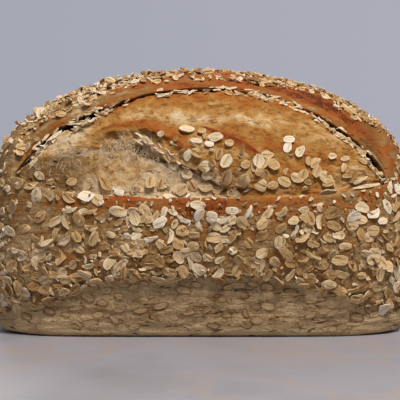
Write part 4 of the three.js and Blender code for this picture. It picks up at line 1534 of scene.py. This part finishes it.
def pale_stone(colours):
    """Honed pale marble under the loaf: smooth, with cloudy patches and faint veins where a noise
    of hand-sized patches crosses its middle value."""
    material, add = new_tree("honed_marble")
    place = add("TexCoord", output="Object")
    clouds = add("TexNoise", {"Vector": place, "Scale": grain_scale(140.0), "Detail": 5.0, "Roughness": 0.6})
    colour = add("ValToRGB", [clouds], stops={
        0.35: linear("908C91"), 0.5: colours.stone, 0.65: linear("989295"),
    })
    veins = add("TexNoise", {"Vector": place, "Scale": grain_scale(90.0), "Detail": 4.0, "Roughness": 0.5})
    veins = add("Math", [veins, 0.5], operation="SUBTRACT")
    veins = add("Math", [veins], operation="ABSOLUTE")
    veins = add("MapRange", [veins, 0.0, 0.03, 0.5, 0.0], **SMOOTH)
    colour = add("Mix", {0: veins, 6: colour, 7: linear("A8968C")}, 2, data_type="RGBA")
    shader = add("BsdfPrincipled", {"Base Color": colour, "Roughness": 0.5})
    add("OutputMaterial", {"Surface": shader})
    return material


# Add-on

def length_property(name, description, default):
    """A length that a user may change."""
    return bpy.props.FloatProperty(name=name, description=description, default=default, unit="LENGTH")


class LoafSizes(bpy.types.PropertyGroup):
    """Sizes of the loaf and its flakes."""

    half_length: length_property("Half length", "Half the loaf's length at its widest", 0.113)
    half_width: length_property("Half width", "Half the loaf's width at its widest", 0.060)
    ridge_height: length_property(
        "Ridge height", "Height of the crown without flakes", LOAF_TOP - FLAKE_RISE * MM
    )
    tear_half_length: length_property("Tear half length", "Half the length of the torn score", 0.097)
    lip_height: length_property("Lip height", "Height of the lip under the tear", 0.073)
    flap_thickness: length_property("Flap thickness", "Thickness of the flap on the crumb", 0.0034)
    crack_gap: length_property("Crack gap", "Gap between the crumb and the ear", 0.0022)
    flake_length: length_property("Flake length", "Length of a whole oat flake", 0.0070)
    flake_width: length_property("Flake width", "Width of a whole oat flake", 0.0048)
    flake_thickness: length_property("Flake thickness", "Thickness of an oat flake", 0.0006)
    flake_gap: length_property("Flake spacing", "Least distance between flakes where they are dense", 0.0050)


def colour_property(name, description, hex_text):
    """A colour that a user may change."""
    return bpy.props.FloatVectorProperty(
        name=name, description=description, default=linear(hex_text)[:3], subtype="COLOR", min=0.0, max=1.0
    )


class LoafColours(bpy.types.PropertyGroup):
    """Main colours of the loaf, its flakes and the stone under it."""

    crust_floury: colour_property("Floury crust", "Crust where it is palest", "C6A87E")
    crust_golden: colour_property("Golden crust", "Crust where it baked orange brown", "9C5A22")
    crust_dark: colour_property("Dark crust", "Crust where it baked darkest", "54260C")
    crumb_pale: colour_property("Pale crumb", "Burst crumb where it was sheltered", "D6BA92")
    crumb_golden: colour_property("Golden crumb", "Burst crumb where it baked golden", "A67232")
    crumb_brown: colour_property("Brown crumb", "Rims of the torn flap", "904513")
    oats_dark: colour_property("Dark oats", "Creases of the toasted flakes", "7C552C")
    oats_toasted: colour_property("Toasted oats", "Most of the flakes", "CEAA78")
    oats_pale: colour_property("Pale oats", "Floury flakes", "ECDDC6")
    stone: colour_property("Stone", "Marble under the loaf", "9E9AA1")


def oat_looks(sizes):
    """Shape settings of loose, large and broken flakes, of bits, of flakes pressed into the wall
    and of the strips and slivers of torn skin."""
    loose = {
        "length": sizes.flake_length / MM, "width": sizes.flake_width / MM,
        "thickness": sizes.flake_thickness / MM,
        "sides": 12, "ragged": 0.15, "spread": 0.24, "curl": 0.13, "crumple": 0.12, "broken": 0.0,
        "crease": 0.42,
    }
    return {
        "loose": loose,
        "large": dict(loose, ragged=0.13),
        "broken": dict(loose, broken=1.0, ragged=0.16, curl=0.18),
        "bits": dict(
            loose, length=2.9, width=1.5, thickness=0.35, sides=6, ragged=0.45, spread=0.35,
            crumple=0.3, crease=0.1,
        ),
        "pressed": dict(loose, length=7.0, width=3.4, thickness=0.4, curl=0.02, crumple=0.04, crease=0.1),
        "strips": dict(loose, thickness=0.5, ragged=0.1, curl=0.006, crumple=0.15, crease=0.0),
        "slivers": dict(
            loose, length=4.2, width=1.2, thickness=0.22, sides=8, ragged=0.38, spread=0.5, curl=0.4,
            crease=0.0,
        ),
    }


def add_light(name, location, side, power):
    """A square soft light aimed at the loaf."""
    data = bpy.data.lights.new(name, "AREA")
    data.shape, data.size, data.energy, data.color = "SQUARE", side, power, linear(LIGHT_COLOUR)[:3]
    light = bpy.data.objects.new(name, data)
    light.location = location
    aim = Vector(LIGHT_AIM) - Vector(location)
    light.rotation_euler = aim.to_track_quat("-Z", "Y").to_euler()
    bpy.context.scene.collection.objects.link(light)


def add_camera(scene):
    """The camera straight in front of the loaf, a little above level, at its distance."""
    data = bpy.data.cameras.new("camera")
    data.lens = CAMERA_LENS
    camera = bpy.data.objects.new("camera", data)
    rise = math.radians(CAMERA_RISE_DEG)
    back = Vector((0.0, -math.cos(rise), math.sin(rise)))
    camera.location = Vector(CAMERA_TARGET) + back * CAMERA_DISTANCE
    camera.rotation_euler = (-back).to_track_quat("-Z", "Y").to_euler()
    scene.collection.objects.link(camera)
    scene.camera = camera


def plain_wall():
    """The grey wall round the stage: a bit paler to the right, and darker above."""
    world = bpy.data.worlds.new("plain_wall")
    world.use_nodes = True
    add = functools.partial(add_node, world.node_tree)
    heading = add("TexCoord", output="Object")
    sideways = add("SeparateXYZ", [heading], output="X")
    sideways = add("MapRange", [sideways, -0.2, 0.2, 0.0, 1.0], **SMOOTH)
    wall = add("Mix", {0: sideways, 6: linear(WALL_LEFT), 7: linear(WALL_RIGHT)}, 2, data_type="RGBA")
    upward = add("SeparateXYZ", [heading], output="Z")
    upward = add("MapRange", [upward, 0.12, 0.5, 0.0, 1.0], **SMOOTH)
    colour = add("Mix", {0: upward, 6: wall, 7: linear(ROOM_ABOVE)}, 2, data_type="RGBA")
    world.node_tree.links.new(colour, world.node_tree.nodes["Background"].inputs["Color"])
    return world


class LOAF_OT_stage(bpy.types.Operator):
    """Makes the floor, the plain wall, the soft lights and the camera"""

    bl_idname = "loaf.add_stage"
    bl_label = "Stage"

    def execute(self, context):
        scene = context.scene
        bpy.ops.mesh.primitive_plane_add(size=FLOOR_SIDE, location=(0.0, 0.0, 0.0))
        floor = context.object
        floor.name = "floor"
        floor.data.materials.append(pale_stone(scene.loaf_colours))
        scene.world = plain_wall()
        scene.view_settings.view_transform = "Standard"
        for light in LIGHTS:
            add_light(*light)
        add_camera(scene)
        return {"FINISHED"}


class LOAF_OT_crust(bpy.types.Operator):
    """Makes the baked crust with its lip, its ear and the floor of the tear"""

    bl_idname = "loaf.add_crust"
    bl_label = "Crust"

    def execute(self, context):
        make_crust(context.scene.loaf_sizes, baked_crust(context.scene.loaf_colours))
        return {"FINISHED"}


class LOAF_OT_crumb(bpy.types.Operator):
    """Makes the crumb that burst through the tear, its strands and the torn skin round it"""

    bl_idname = "loaf.add_crumb"
    bl_label = "Burst crumb"

    def execute(self, context):
        sizes = context.scene.loaf_sizes
        film = torn_gluten()
        make_crumb(sizes, burst_crumb(context.scene.loaf_colours))
        make_strands(sizes, film)
        make_torn_skin(LoafForm(sizes), oat_looks(sizes), film, np.random.default_rng(SKIN_SEED))
        return {"FINISHED"}


class LOAF_OT_oats(bpy.types.Operator):
    """Makes the oat flakes, whole, broken, crushed and pressed in"""

    bl_idname = "loaf.add_oats"
    bl_label = "Oat flakes"

    def execute(self, context):
        sizes = context.scene.loaf_sizes
        form, looks = LoafForm(sizes), oat_looks(sizes)
        dense = sizes.flake_gap / MM
        rng = np.random.default_rng(FLAKE_SEED)
        oats = loose_oats(context.scene.loaf_colours)
        crust, crumb = crust_grid(form), crumb_grid(form)
        make_loose_flakes(form, looks, crust, crumb, dense, oats, rng)
        make_given("large_oat_flakes", LARGE_FLAKES, looks["large"], crumb[1], 0.7, oats, rng)
        make_bits(form, looks["bits"], crust, crumb, dense, oats, rng)
        make_pressed_flakes(form, looks["pressed"], crust, sunken_oats(), rng)
        return {"FINISHED"}


class LOAF_PT_panel(bpy.types.Panel):
    """Lists the steps that make the loaf"""

    bl_label = "Loaf"
    bl_idname = "LOAF_PT_panel"
    bl_space_type = "VIEW_3D"
    bl_region_type = "UI"
    bl_category = "Loaf"

    def draw(self, context):
        for step in STEPS:
            self.layout.operator(step.bl_idname)


STEPS = (LOAF_OT_stage, LOAF_OT_crust, LOAF_OT_crumb, LOAF_OT_oats)
CLASSES = (LoafSizes, LoafColours, *STEPS, LOAF_PT_panel)


def register():
    for item in CLASSES:
        bpy.utils.register_class(item)
    bpy.types.Scene.loaf_sizes = bpy.props.PointerProperty(type=LoafSizes)
    bpy.types.Scene.loaf_colours = bpy.props.PointerProperty(type=LoafColours)


def unregister():
    del bpy.types.Scene.loaf_colours
    del bpy.types.Scene.loaf_sizes
    for item in reversed(CLASSES):
        bpy.utils.unregister_class(item)


def main():
    register()
    bpy.ops.loaf.add_stage()
    bpy.ops.loaf.add_crust()
    bpy.ops.loaf.add_crumb()
    bpy.ops.loaf.add_oats()


if __name__ == "__main__":
    main()
